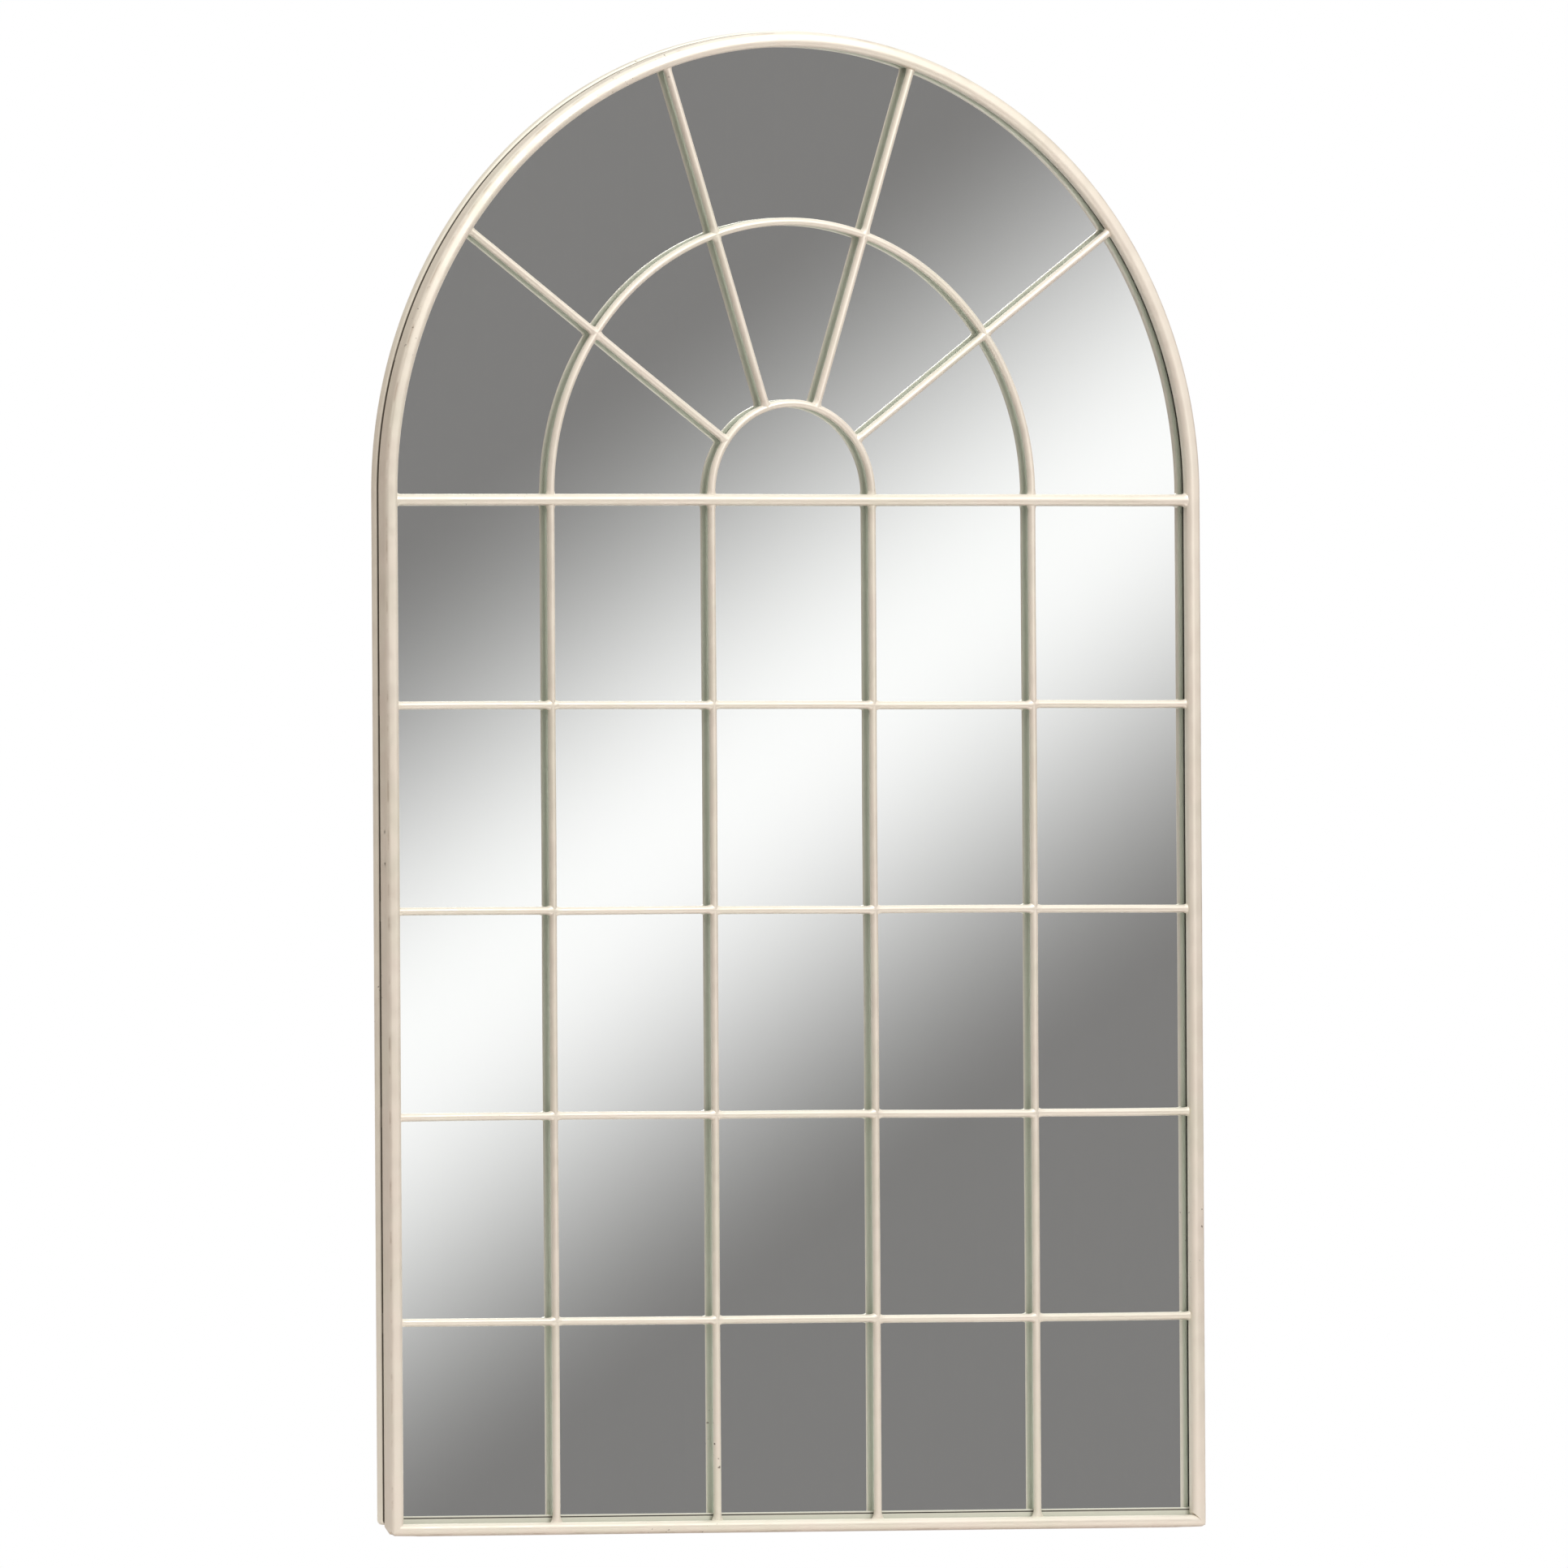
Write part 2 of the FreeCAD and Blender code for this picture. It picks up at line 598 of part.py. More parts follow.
def export():
    """Stop on any failed object, then write each piece to a file of its own."""
    doc.recompute()
    failed = [obj.Name for obj in doc.Objects if "Invalid" in obj.State or "Error" in obj.State]
    if failed:
        raise RuntimeError(f"failed objects: {failed}")
    for obj in pieces:
        if obj.Shape.isNull() or not obj.Shape.isValid() or not obj.Shape.Solids:
            raise RuntimeError(f"bad shape: {obj.Label}")
    os.makedirs("parts", exist_ok=True)
    for obj in pieces:
        obj.Shape.exportStep(f"parts/{obj.Label}.step")
        box = obj.Shape.BoundBox
        print(f"{obj.Label}: {len(obj.Shape.Solids)} solids, {obj.Shape.Volume:.1f} mm3, "
              f"x {box.XMin:.2f} to {box.XMax:.2f}, y {box.YMin:.2f} to {box.YMax:.2f}, "
              f"z {box.ZMin:.2f} to {box.ZMax:.2f}")


fill_sheet()
outer_tube()
tools = coping_tools()
straight_bars(tools)
fanlight(tools)
skirt()
pane(tools)
rear_rim()
rim_spacers()
backing()
hangers()
export()
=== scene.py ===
"""Window mirror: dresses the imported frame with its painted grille, glass, backing and hangers."""
import logging
import math
import random
from dataclasses import dataclass
from enum import Enum
from typing import Any, Sequence

import bmesh
import bpy
from mathutils import Matrix, Vector


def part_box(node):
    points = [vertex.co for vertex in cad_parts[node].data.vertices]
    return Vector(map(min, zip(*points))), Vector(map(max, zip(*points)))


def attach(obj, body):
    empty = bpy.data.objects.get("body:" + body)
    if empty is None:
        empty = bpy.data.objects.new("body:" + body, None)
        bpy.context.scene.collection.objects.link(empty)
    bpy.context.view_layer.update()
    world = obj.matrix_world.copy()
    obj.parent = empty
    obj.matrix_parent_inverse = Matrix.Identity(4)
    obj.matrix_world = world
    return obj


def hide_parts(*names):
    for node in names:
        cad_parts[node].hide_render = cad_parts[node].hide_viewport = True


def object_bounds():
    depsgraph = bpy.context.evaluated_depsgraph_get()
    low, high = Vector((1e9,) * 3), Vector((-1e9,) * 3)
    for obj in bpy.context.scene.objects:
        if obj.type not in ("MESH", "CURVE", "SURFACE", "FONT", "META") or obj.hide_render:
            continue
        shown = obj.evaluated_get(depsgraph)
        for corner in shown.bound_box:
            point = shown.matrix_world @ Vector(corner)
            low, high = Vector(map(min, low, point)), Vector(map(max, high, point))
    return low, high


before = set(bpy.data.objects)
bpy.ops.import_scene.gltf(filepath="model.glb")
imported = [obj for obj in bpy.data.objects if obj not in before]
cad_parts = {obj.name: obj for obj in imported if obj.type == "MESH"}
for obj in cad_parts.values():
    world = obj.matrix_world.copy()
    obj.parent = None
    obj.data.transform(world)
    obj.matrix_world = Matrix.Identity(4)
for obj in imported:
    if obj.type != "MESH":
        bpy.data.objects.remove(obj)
CAD_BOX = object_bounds()

LOG = logging.getLogger("window_mirror")
MM = 0.001
SHARP = math.radians(38)
WELD = 0.005 * MM
FRONT = Vector((0, -1, 0))
COLUMNS = 5
ROWS = 5
FAN_SECTORS = 5
HOOP_STEPS = 300
WHITE = (1, 1, 1, 1)

Socket = bpy.types.NodeSocket
Color = tuple[float, float, float, float]


class Slot(Enum):
    """Material slots of the record."""

    IVORY = "ivory_paint"
    GLASS = "silvered_glass"
    RUBBER = "glazing_rubber"
    BOARD = "hardboard"
    ZINC = "zinc_plate"


class Body(Enum):
    """Bodies that pieces ride on."""

    FRAME = "frame"
    LEFT_RING = "left_ring"
    RIGHT_RING = "right_ring"


class Side(Enum):
    """The two sides of the mirror, seen from the front."""

    LEFT = -1
    RIGHT = 1

    @property
    def label(self) -> str:
        """Word that names of nodes begin with."""
        return self.name.lower()


# Node trees


def floats(*labels: str) -> dict[str, str]:
    """Kind of each named input that is a plain number."""
    return dict.fromkeys(labels, "Float")


class NodeWriter:
    """Adds nodes to one tree and joins their sockets."""

    def __init__(self, tree: bpy.types.NodeTree) -> None:
        """Keep the tree that the nodes go to."""
        self.tree = tree

    def add(self, kind: str, inputs: dict[Any, Any] | None = None, **settings: Any) -> bpy.types.Node:
        """Add a node.

        Args:
            kind: Name of the node type.
            inputs: Sockets by name or number, each with a value or the socket that feeds it.
            **settings: Properties of the node.

        Returns:
            The new node.
        """
        node = self.tree.nodes.new(kind)
        for name, value in settings.items():
            setattr(node, name, value)
        for key, value in (inputs or {}).items():
            self.feed(node.inputs[key], value)
        return node

    def feed(self, socket: Socket, value: Any) -> None:
        """Give a socket a value, or join it to the socket that feeds it."""
        if isinstance(value, Socket):
            self.tree.links.new(value, socket)
        else:
            socket.default_value = value

    def here(self) -> Socket:
        """Socket of the shaded point's place on the object."""
        return self.add("ShaderNodeTexCoord").outputs["Object"]

    def math(self, operation: str, *values: Any, clamp: bool = False) -> Socket:
        """Do a sum on numbers."""
        node = self.add("ShaderNodeMath", dict(enumerate(values)), operation=operation, use_clamp=clamp)
        return node.outputs[0]

    def vector(self, operation: str, *values: Any) -> Socket:
        """Do a sum on vectors; for SCALE the second value is the number.

        Args:
            operation: Name of the operation.
            *values: Vectors or sockets.

        Returns:
            The result's socket.
        """
        keys = (0, "Scale") if operation == "SCALE" else range(len(values))
        node = self.add("ShaderNodeVectorMath", dict(zip(keys, values)), operation=operation)
        return node.outputs["Value" if operation == "LENGTH" else "Vector"]

    def split(self, vector: Socket) -> tuple[Socket, Socket, Socket]:
        """Take a vector apart into its three numbers."""
        return tuple(self.add("ShaderNodeSeparateXYZ", {0: vector}).outputs)

    def join(self, x: Any, y: Any, z: Any) -> Socket:
        """Make a vector of three numbers."""
        return self.add("ShaderNodeCombineXYZ", {0: x, 1: y, 2: z}).outputs[0]

    def ramp(self, value: Socket, low: Any, high: Any, start: Any = 0.0, end: Any = 1.0) -> Socket:
        """Ease a number from one range to another."""
        inputs = {"Value": value, "From Min": low, "From Max": high, "To Min": start, "To Max": end}
        return self.add("ShaderNodeMapRange", inputs, interpolation_type="SMOOTHSTEP").outputs[0]

    def blend(self, share: Any, first: Any, second: Any) -> Socket:
        """Mix two colours."""
        return self.add("ShaderNodeMix", {0: share, 6: first, 7: second}, data_type="RGBA").outputs[2]

    def tint(self, mask: Socket, share: float, below: Any, top: Any) -> Socket:
        """Lay a colour over another where a mask shows."""
        return self.blend(self.math("MULTIPLY", mask, share), below, top)

    def noise(self, vector: Socket, scale: Any, detail: float = 2.0, seed: Any = 0.0) -> bpy.types.Node:
        """Add cloudy noise."""
        inputs = {"Vector": vector, "W": seed, "Scale": scale, "Detail": detail}
        return self.add("ShaderNodeTexNoise", inputs, noise_dimensions="4D")

    def mix_for_camera(self, others: Socket, camera: Socket) -> Socket:
        """Shade camera rays in one way and all other rays in another."""
        path = self.add("ShaderNodeLightPath")
        shaders = {0: path.outputs["Is Camera Ray"], 1: others, 2: camera}
        return self.add("ShaderNodeMixShader", shaders).outputs[0]


class Recipe:
    """Geometry Nodes tree that turns a path or a set of points into one plain mesh."""

    name = "recipe"
    sizes: dict[str, str] = {}
    sway_clouds = 4.0
    sway_gain = 8.0

    def __init__(self) -> None:
        """Build the tree with its named inputs."""
        tree = bpy.data.node_groups.new(self.name, "GeometryNodeTree")
        tree.interface.new_socket(name="Geometry", in_out="OUTPUT", socket_type="NodeSocketGeometry")
        tree.interface.new_socket(name="Geometry", in_out="INPUT", socket_type="NodeSocketGeometry")
        self.identifiers: dict[str, str] = {}
        for label, kind in {**self.sizes, "Material": "Material"}.items():
            socket = tree.interface.new_socket(name=label, in_out="INPUT", socket_type="NodeSocket" + kind)
            self.identifiers[label] = socket.identifier
        self.write = NodeWriter(tree)
        self.given = self.write.add("NodeGroupInput").outputs
        real = self.write.add("GeometryNodeRealizeInstances", {0: self.layout()}).outputs[0]
        smooth = self.write.add("GeometryNodeSetShadeSmooth", {0: real}).outputs[0]
        paint = {"Geometry": smooth, "Material": self.given["Material"]}
        painted = self.write.add("GeometryNodeSetMaterial", paint).outputs[0]
        self.write.add("NodeGroupOutput", {0: painted})

    def layout(self) -> Socket:
        """Lay out the nodes that make the shape, and return its socket."""
        raise NotImplementedError

    def position(self) -> Socket:
        """Socket of each point's place."""
        return self.write.add("GeometryNodeInputPosition").outputs[0]

    def curve(self) -> Socket:
        """Socket of the given path, as a curve."""
        return self.write.add("GeometryNodeMeshToCurve", {"Mesh": self.given["Geometry"]}).outputs[0]

    def points(self) -> Socket:
        """Socket of the given points."""
        return self.write.add("GeometryNodeMeshToPoints", {"Mesh": self.given["Geometry"]}).outputs[0]

    def shift(self, shape: Socket, way: str, value: Socket) -> Socket:
        """Move a shape's points, by an Offset or to a Position."""
        return self.write.add("GeometryNodeSetPosition", {"Geometry": shape, way: value}).outputs[0]

    def sweep(self, curve: Socket, profile: Socket) -> Socket:
        """Sweep a profile along a curve, with closed ends."""
        inputs = {"Curve": curve, "Profile Curve": profile, "Fill Caps": True}
        return self.write.add("GeometryNodeCurveToMesh", inputs).outputs[0]

    def sway(self, curve: Socket) -> Socket:
        """Bend a path a little out of true, and leave its ends in place.

        Args:
            curve: The path.

        Returns:
            The bent path's socket.
        """
        write = self.write
        along = write.add("GeometryNodeSplineParameter").outputs["Factor"]
        free = write.math("MULTIPLY", along, write.math("SUBTRACT", 1.0, along))
        cloud = write.noise(self.position(), self.sway_clouds, 0.0, self.given["Seed"])
        drift = write.vector("SUBTRACT", cloud.outputs["Color"], (0.5, 0.5, 0.5))
        drift = write.vector("MULTIPLY", drift, (1.0, 0.0, 1.0))
        reach = write.math("MULTIPLY", write.math("MULTIPLY", free, self.sway_gain), self.given["Sway"])
        return self.shift(curve, "Offset", write.vector("SCALE", drift, reach))

    def make(self, source: bpy.types.Object, values: dict[str, Any]) -> bpy.types.Object:
        """Run the tree on an object and keep the result as its plain mesh.

        Args:
            source: Object that holds the path or the points.
            values: Value of each named input.

        Returns:
            The same object, with the finished mesh and no modifier.
        """
        modifier = source.modifiers.new(self.name, "NODES")
        modifier.node_group = self.write.tree
        for label, value in values.items():
            modifier[self.identifiers[label]] = value
        graph = bpy.context.evaluated_depsgraph_get()
        mesh = bpy.data.meshes.new_from_object(source.evaluated_get(graph))
        source.modifiers.clear()
        source.data = mesh
        mesh.set_sharp_from_angle(angle=SHARP)
        return source

    def stand_for(self, node: str, points: Sequence[Vector], slot: Slot, values: dict[str, Any],
                  body: Body = Body.FRAME, closed: bool = False) -> None:
        """Make the piece that stands for a node along a path, and hand it over."""
        obj = self.make(path_object(f"{node}_finished", points, closed), values)
        hand_over(obj, [node], body)


class RoundBar(Recipe):
    """Round bar along a path."""

    name = "round_bar"
    sizes = {**floats("Radius", "Step", "Sway", "Seed"), "Sides": "Int"}

    def layout(self) -> Socket:
        """Resample the path, let it sway and sweep a circle along it."""
        write, given = self.write, self.given
        spacing = {"Curve": self.curve(), "Length": given["Step"]}
        even = write.add("GeometryNodeResampleCurve", spacing, mode="LENGTH").outputs[0]
        size = {"Resolution": given["Sides"], "Radius": given["Radius"]}
        circle = write.add("GeometryNodeCurvePrimitiveCircle", size).outputs[0]
        return self.sweep(self.sway(even), circle)


class Section(Recipe):
    """Four-cornered section with rounded edges along a path, its depth facing the front."""

    name = "section"
    sizes = floats("Depth", "Width", "Front Outer", "Front Inner", "Back", "Crown", "Sway", "Seed")
    outer_corner = 0.0
    inner_corner = 3.0
    fillet_steps = 8

    def layout(self) -> Socket:
        """Round the section's corners, sweep it and shape its ends."""
        write, given = self.write, self.given
        index = write.add("GeometryNodeInputIndex").outputs[0]
        outer = write.math("COMPARE", index, self.outer_corner, 0.5)
        inner = write.math("COMPARE", index, self.inner_corner, 0.5)
        rest = write.math("SUBTRACT", write.math("SUBTRACT", 1.0, outer), inner)
        radius = write.math("MULTIPLY", outer, given["Front Outer"])
        radius = write.math("MULTIPLY_ADD", inner, given["Front Inner"], radius)
        radius = write.math("MULTIPLY_ADD", rest, given["Back"], radius)
        size = {"Width": given["Depth"], "Height": given["Width"]}
        quad = write.add("GeometryNodeCurvePrimitiveQuadrilateral", size).outputs[0]
        back = write.math("MULTIPLY", write.math("MULTIPLY", outer, given["Crown"]), -1.0)
        crowned = self.shift(quad, "Offset", write.join(back, 0.0, 0.0))
        fillet = {"Curve": crowned, "Count": self.fillet_steps, "Radius": radius, "Limit Radius": True}
        profile = write.add("GeometryNodeFilletCurve", fillet, mode="POLY").outputs[0]
        facing = {"Curve": self.sway(self.curve()), "Normal": FRONT}
        turned = write.add("GeometryNodeSetCurveNormal", facing, mode="FREE").outputs[0]
        return self.shift(self.sweep(turned, profile), "Position", self.ends())

    def ends(self) -> Socket:
        """Socket of each point's place once the ends are shaped."""
        return self.position()


class FrameTube(Section):
    """Outer tube, with mitred lower corners that are ground round on the outside."""

    name = "frame_tube"
    sizes = {**Section.sizes, **floats("Half Width", "Rail Height", "Mitre Reach", "Stile Mitre",
                                       "Rail Mitre", "Corner Round", "Front", "Foot Slope")}

    def ends(self) -> Socket:
        """Shear the last stretch of a stile or rail to the mitre, round the corner and grind its foot."""
        write, given = self.write, self.given
        x, y, z = write.split(self.position())
        out = write.math("SUBTRACT", write.math("ABSOLUTE", x), given["Half Width"])
        down = write.math("SUBTRACT", given["Rail Height"], z)

        def close(distance: Socket) -> Socket:
            """Share of 1 at the mitre, fading out along the run."""
            return write.math("ADD", write.math("DIVIDE", distance, given["Mitre Reach"]), 1.0, clamp=True)

        def sheared(moved: Socket, other: Socket, share: Socket) -> Socket:
            """Move one number by the other, fully at the mitre."""
            return write.math("MULTIPLY_ADD", write.math("MULTIPLY", close(moved), share), other, moved)

        new_down = sheared(down, out, given["Stile Mitre"])
        new_out = sheared(out, down, given["Rail Mitre"])
        half = write.math("MULTIPLY", given["Depth"], 0.5)
        centre = write.math("SUBTRACT", half, given["Corner Round"])
        past_out = write.math("MAXIMUM", write.math("SUBTRACT", new_out, centre), 0.0)
        past_down = write.math("MAXIMUM", write.math("SUBTRACT", new_down, centre), 0.0)
        squared = write.math("MULTIPLY", past_down, past_down)
        squared = write.math("MULTIPLY_ADD", past_out, past_out, squared)
        length = write.math("MAXIMUM", write.math("SQRT", squared), MM * MM)
        kept = write.math("MINIMUM", write.math("DIVIDE", given["Corner Round"], length), 1.0)
        cut = write.math("SUBTRACT", kept, 1.0)
        new_out = write.math("MULTIPLY_ADD", past_out, cut, new_out)
        new_down = write.math("MULTIPLY_ADD", past_down, cut, new_down)
        behind = write.math("MAXIMUM", write.math("SUBTRACT", y, given["Front"]), 0.0)
        rise = write.math("MULTIPLY", behind, given["Foot Slope"])
        foot = write.math("SUBTRACT", half, write.math("MULTIPLY", close(new_out), rise))
        new_down = write.math("MINIMUM", new_down, foot)
        reach = write.math("ADD", given["Half Width"], new_out)
        return write.join(write.math("MULTIPLY", write.math("SIGN", x), reach), y,
                          write.math("SUBTRACT", given["Rail Height"], new_down))


class Strip(Section):
    """Flat strip whose lower end slants."""

    name = "strip"
    sizes = {**Section.sizes, **floats("Slant", "Slant Reach", "Foot Height", "Foot Back")}

    def ends(self) -> Socket:
        """Shear the last stretch, so that the foot is deeper at the front."""
        write, given = self.write, self.given
        x, y, z = write.split(self.position())
        above = write.math("DIVIDE", write.math("SUBTRACT", z, given["Foot Height"]), given["Slant Reach"])
        near = write.math("SUBTRACT", 1.0, above, clamp=True)
        ahead = write.math("SUBTRACT", y, given["Foot Back"])
        drop = write.math("MULTIPLY", write.math("MULTIPLY", ahead, near), given["Slant"])
        return write.join(x, y, write.math("ADD", z, drop))


class WeldFlares(Recipe):
    """Filled and painted welds: one on each point, which flares the end of a bar onto its carrier."""

    name = "weld_flares"
    sizes = {**floats("Reach", "Flare", "Lump", "Seed"), "Sides": "Int"}
    rings = 12
    fade = 2.2
    squeeze = 0.99
    clouds = 260.0

    def layout(self) -> Socket:
        """Flare a sleeve in the plane of the grille, put one on each point and roughen them."""
        write, given = self.write, self.given
        sleeve = write.add("GeometryNodeMeshCone", {
            "Vertices": given["Sides"], "Side Segments": self.rings, "Radius Top": 1.0, "Radius Bottom": 1.0,
            "Depth": 1.0}).outputs[0]
        x, y, z = write.split(self.position())
        near = write.math("POWER", write.math("SUBTRACT", 1.0, z, clamp=True), self.fade)
        flare = write.math("MULTIPLY_ADD", near, given["Flare"], 1.0)
        place = write.join(write.math("MULTIPLY", x, flare), write.math("MULTIPLY", y, self.squeeze), z)
        bead = self.shift(sleeve, "Position", place)
        along = self.attribute("along", "FLOAT_VECTOR")
        radius = self.attribute("bar_radius", "FLOAT")
        align = "FunctionNodeAlignRotationToVector"
        turned = write.add(align, {"Vector": along}, axis="Z").outputs[0]
        upright = write.add(align, {"Rotation": turned, "Vector": (0, 1, 0)}, axis="Y", pivot_axis="Z")
        beads = write.add("GeometryNodeInstanceOnPoints", {
            "Points": self.points(), "Instance": bead, "Rotation": upright.outputs[0],
            "Scale": write.join(radius, radius, given["Reach"])}).outputs[0]
        real = write.add("GeometryNodeRealizeInstances", {0: beads}).outputs[0]
        cloud = write.noise(self.position(), self.clouds, 1.0, given["Seed"])
        amount = write.math("MULTIPLY", write.math("SUBTRACT", cloud.outputs["Fac"], 0.5), given["Lump"])
        normal = write.add("GeometryNodeInputNormal").outputs[0]
        return self.shift(real, "Offset", write.vector("SCALE", normal, amount))

    def attribute(self, name: str, kind: str) -> Socket:
        """Socket of a named value that each point holds."""
        return self.write.add("GeometryNodeInputNamedAttribute", {"Name": name}, data_type=kind).outputs[0]


class Fasteners(Recipe):
    """One fastener on each point, each turned by chance about the axis it was driven along."""

    name = "fasteners"
    sizes = {"Fastener": "Object", "Seed": "Int"}

    def layout(self) -> Socket:
        """Put a copy of the fastener on each point."""
        write, given = self.write, self.given
        shape = write.add("GeometryNodeObjectInfo", {"Object": given["Fastener"]}).outputs["Geometry"]
        chance = write.add("FunctionNodeRandomValue", {"Seed": given["Seed"]}, data_type="FLOAT").outputs[1]
        turn = write.join(0.0, write.math("MULTIPLY", chance, math.tau), 0.0)
        rotation = write.add("FunctionNodeEulerToRotation", {0: turn}).outputs[0]
        return write.add("GeometryNodeInstanceOnPoints", {
            "Points": self.points(), "Instance": shape, "Rotation": rotation}).outputs[0]


# Shared shader effects


class Effect:
    """Shader node group with named inputs and outputs, built once and placed in several materials."""

    name = "effect"
    inputs: dict[str, str] = {}
    outputs: dict[str, str] = {}

    def __init__(self) -> None:
        """Build the group."""
        self.tree = bpy.data.node_groups.new(self.name, "ShaderNodeTree")
        for sockets, way in ((self.inputs, "INPUT"), (self.outputs, "OUTPUT")):
            for label, kind in sockets.items():
                self.tree.interface.new_socket(name=label, in_out=way, socket_type="NodeSocket" + kind)
        self.write = NodeWriter(self.tree)
        self.given = self.write.add("NodeGroupInput").outputs
        self.place = self.write.here()
        self.write.add("NodeGroupOutput", self.layout())

    def layout(self) -> dict[str, Socket]:
        """Lay out the nodes and return the socket of each output."""
        raise NotImplementedError

    def put(self, write: NodeWriter, values: dict[str, Any]) -> bpy.types.bpy_prop_collection:
        """Place the group in a material.

        Args:
            write: Writer of the material's tree.
            values: Value or socket of each named input.

        Returns:
            The outputs of the placed group.
        """
        node = write.add("ShaderNodeGroup", node_tree=self.tree)
        for label, value in values.items():
            write.feed(node.inputs[label], value)
        return node.outputs


class Drift(Effect):
    """Slow change of tone over a surface, between two colours."""

    name = "tone_drift"
    inputs = {"First": "Color", "Second": "Color", **floats("Scale", "Seed")}
    outputs = {"Color": "Color"}

    def layout(self) -> dict[str, Socket]:
        """Mix the colours by cloudy noise."""
        write, given = self.write, self.given
        cloud = write.noise(self.place, given["Scale"], 3.0, given["Seed"])
        mask = write.ramp(cloud.outputs["Fac"], 0.36, 0.64)
        return {"Color": write.blend(mask, given["First"], given["Second"])}


class Grain(Effect):
    """Fine unevenness of a surface, stretched along an axis."""

    name = "fine_grain"
    inputs = {"Stretch": "Vector", **floats("Scale", "Low", "High")}
    outputs = floats("Height", "Roughness")
    slower = 0.11

    def layout(self) -> dict[str, Socket]:
        """Read fine noise as a height, and turn a slower one to roughness."""
        write, given = self.write, self.given
        stretched = write.vector("MULTIPLY", self.place, given["Stretch"])
        fine = write.noise(stretched, given["Scale"], 3.0)
        slow = write.noise(stretched, write.math("MULTIPLY", given["Scale"], self.slower), 2.0, 5.0)
        rough = write.ramp(slow.outputs["Fac"], 0.3, 0.7, given["Low"], given["High"])
        return {"Height": fine.outputs["Fac"], "Roughness": rough}


class ArrisWear(Effect):
    """Masks of the frame: rubbed outer front edge, painted shade in the gap and on the bar backs, painted
    light on the rim.
    """

    name = "arris_wear"
    inputs = floats("Springing", "Rail Height", "Half Width", "Edge Out", "Edge Front", "Width", "Breaks",
                    "Gap Out", "Gap Front", "Gap Back", "Bar Depth")
    outputs = floats("Mask", "Gap", "Rear", "Rim")
    gap_front_fade = 1.0 * MM
    gap_back_fade = 0.6 * MM
    gap_out_fade = 0.5 * MM
    rear_fade = 4.0 * MM
    inside_fade = 2.0 * MM
    rim_fade = 0.4 * MM

    def layout(self) -> dict[str, Socket]:
        """Measure how far a point is from the edge and break the line by noise; also mark where shade and
        light are painted.
        """
        write, given = self.write, self.given
        x, y, z = write.split(self.place)
        above = write.math("MAXIMUM", write.math("SUBTRACT", z, given["Springing"]), 0.0)
        round_out = write.vector("LENGTH", write.join(x, above, 0.0))
        below = write.math("SUBTRACT", given["Rail Height"], z)
        out = write.math("MAXIMUM", round_out, write.math("ADD", given["Half Width"], below))
        aside = write.math("SUBTRACT", out, given["Edge Out"])
        ahead = write.math("SUBTRACT", y, given["Edge Front"])
        away = write.vector("LENGTH", write.join(aside, ahead, 0.0))
        line = write.ramp(away, given["Width"], 0.0)
        cloud = write.noise(self.place, given["Breaks"], 4.0, 3.0)
        broken = write.ramp(cloud.outputs["Fac"], 0.48, 0.66)

        def faded(label: str, fade: float) -> Socket:
            """A named input, less the width of a fade."""
            return write.math("SUBTRACT", given[label], fade)

        # Painted shade: marks the shadow gap between the skirt and the rim for near-black paint.
        behind = write.ramp(y, faded("Gap Front", self.gap_front_fade), given["Gap Front"])
        before = write.ramp(y, faded("Gap Back", -self.gap_back_fade), given["Gap Back"])
        within = write.ramp(out, given["Gap Out"], faded("Gap Out", self.gap_out_fade))
        # Painted shade: darkens the back half of every bar inside the frame, the side that faces the glass.
        rear = write.ramp(y, given["Bar Depth"], faded("Bar Depth", -self.rear_fade))
        inside = write.ramp(out, given["Half Width"], faded("Half Width", self.inside_fade))
        return {"Mask": write.math("MULTIPLY", line, broken),
                "Gap": write.math("MULTIPLY", write.math("MULTIPLY", behind, before), within),
                "Rear": write.math("MULTIPLY", rear, inside),
                # Painted light: marks the rim behind the gap for a paler tint.
                "Rim": write.ramp(y, faded("Gap Back", self.rim_fade), given["Gap Back"])}


class Chips(Effect):
    """Small chips in a finish, in sparse clusters."""

    name = "chips"
    inputs = floats("Cluster Scale", "Chip Scale", "Cluster", "Chip")
    outputs = floats("Mask")

    def layout(self) -> dict[str, Socket]:
        """Let sharp spots show only inside slow clusters."""
        write, given = self.write, self.given
        cluster = write.noise(self.place, given["Cluster Scale"], 1.0, 11.0).outputs["Fac"]
        chip = write.noise(self.place, given["Chip Scale"], 3.0, 7.0).outputs["Fac"]
        inside = write.ramp(cluster, given["Cluster"], write.math("ADD", given["Cluster"], 0.06))
        spot = write.ramp(chip, given["Chip"], write.math("ADD", given["Chip"], 0.04))
        return {"Mask": write.math("MULTIPLY", inside, spot)}


# Finishes


@dataclass(frozen=True)
class Effects:
    """The shared shader effects."""

    drift: Drift
    grain: Grain
    wear: ArrisWear
    chips: Chips

    def tone(self, write: NodeWriter, first: Any, second: Any, scale: float, seed: float) -> Socket:
        """Place a slow change of tone."""
        values = {"First": first, "Second": second, "Scale": scale, "Seed": seed}
        return self.drift.put(write, values)["Color"]

    def fine(self, write: NodeWriter, scale: float, low: float, high: float,
             stretch: tuple[float, float, float] = (1, 1, 1)) -> bpy.types.bpy_prop_collection:
        """Place a fine grain."""
        return self.grain.put(write, {"Stretch": stretch, "Scale": scale, "Low": low, "High": high})


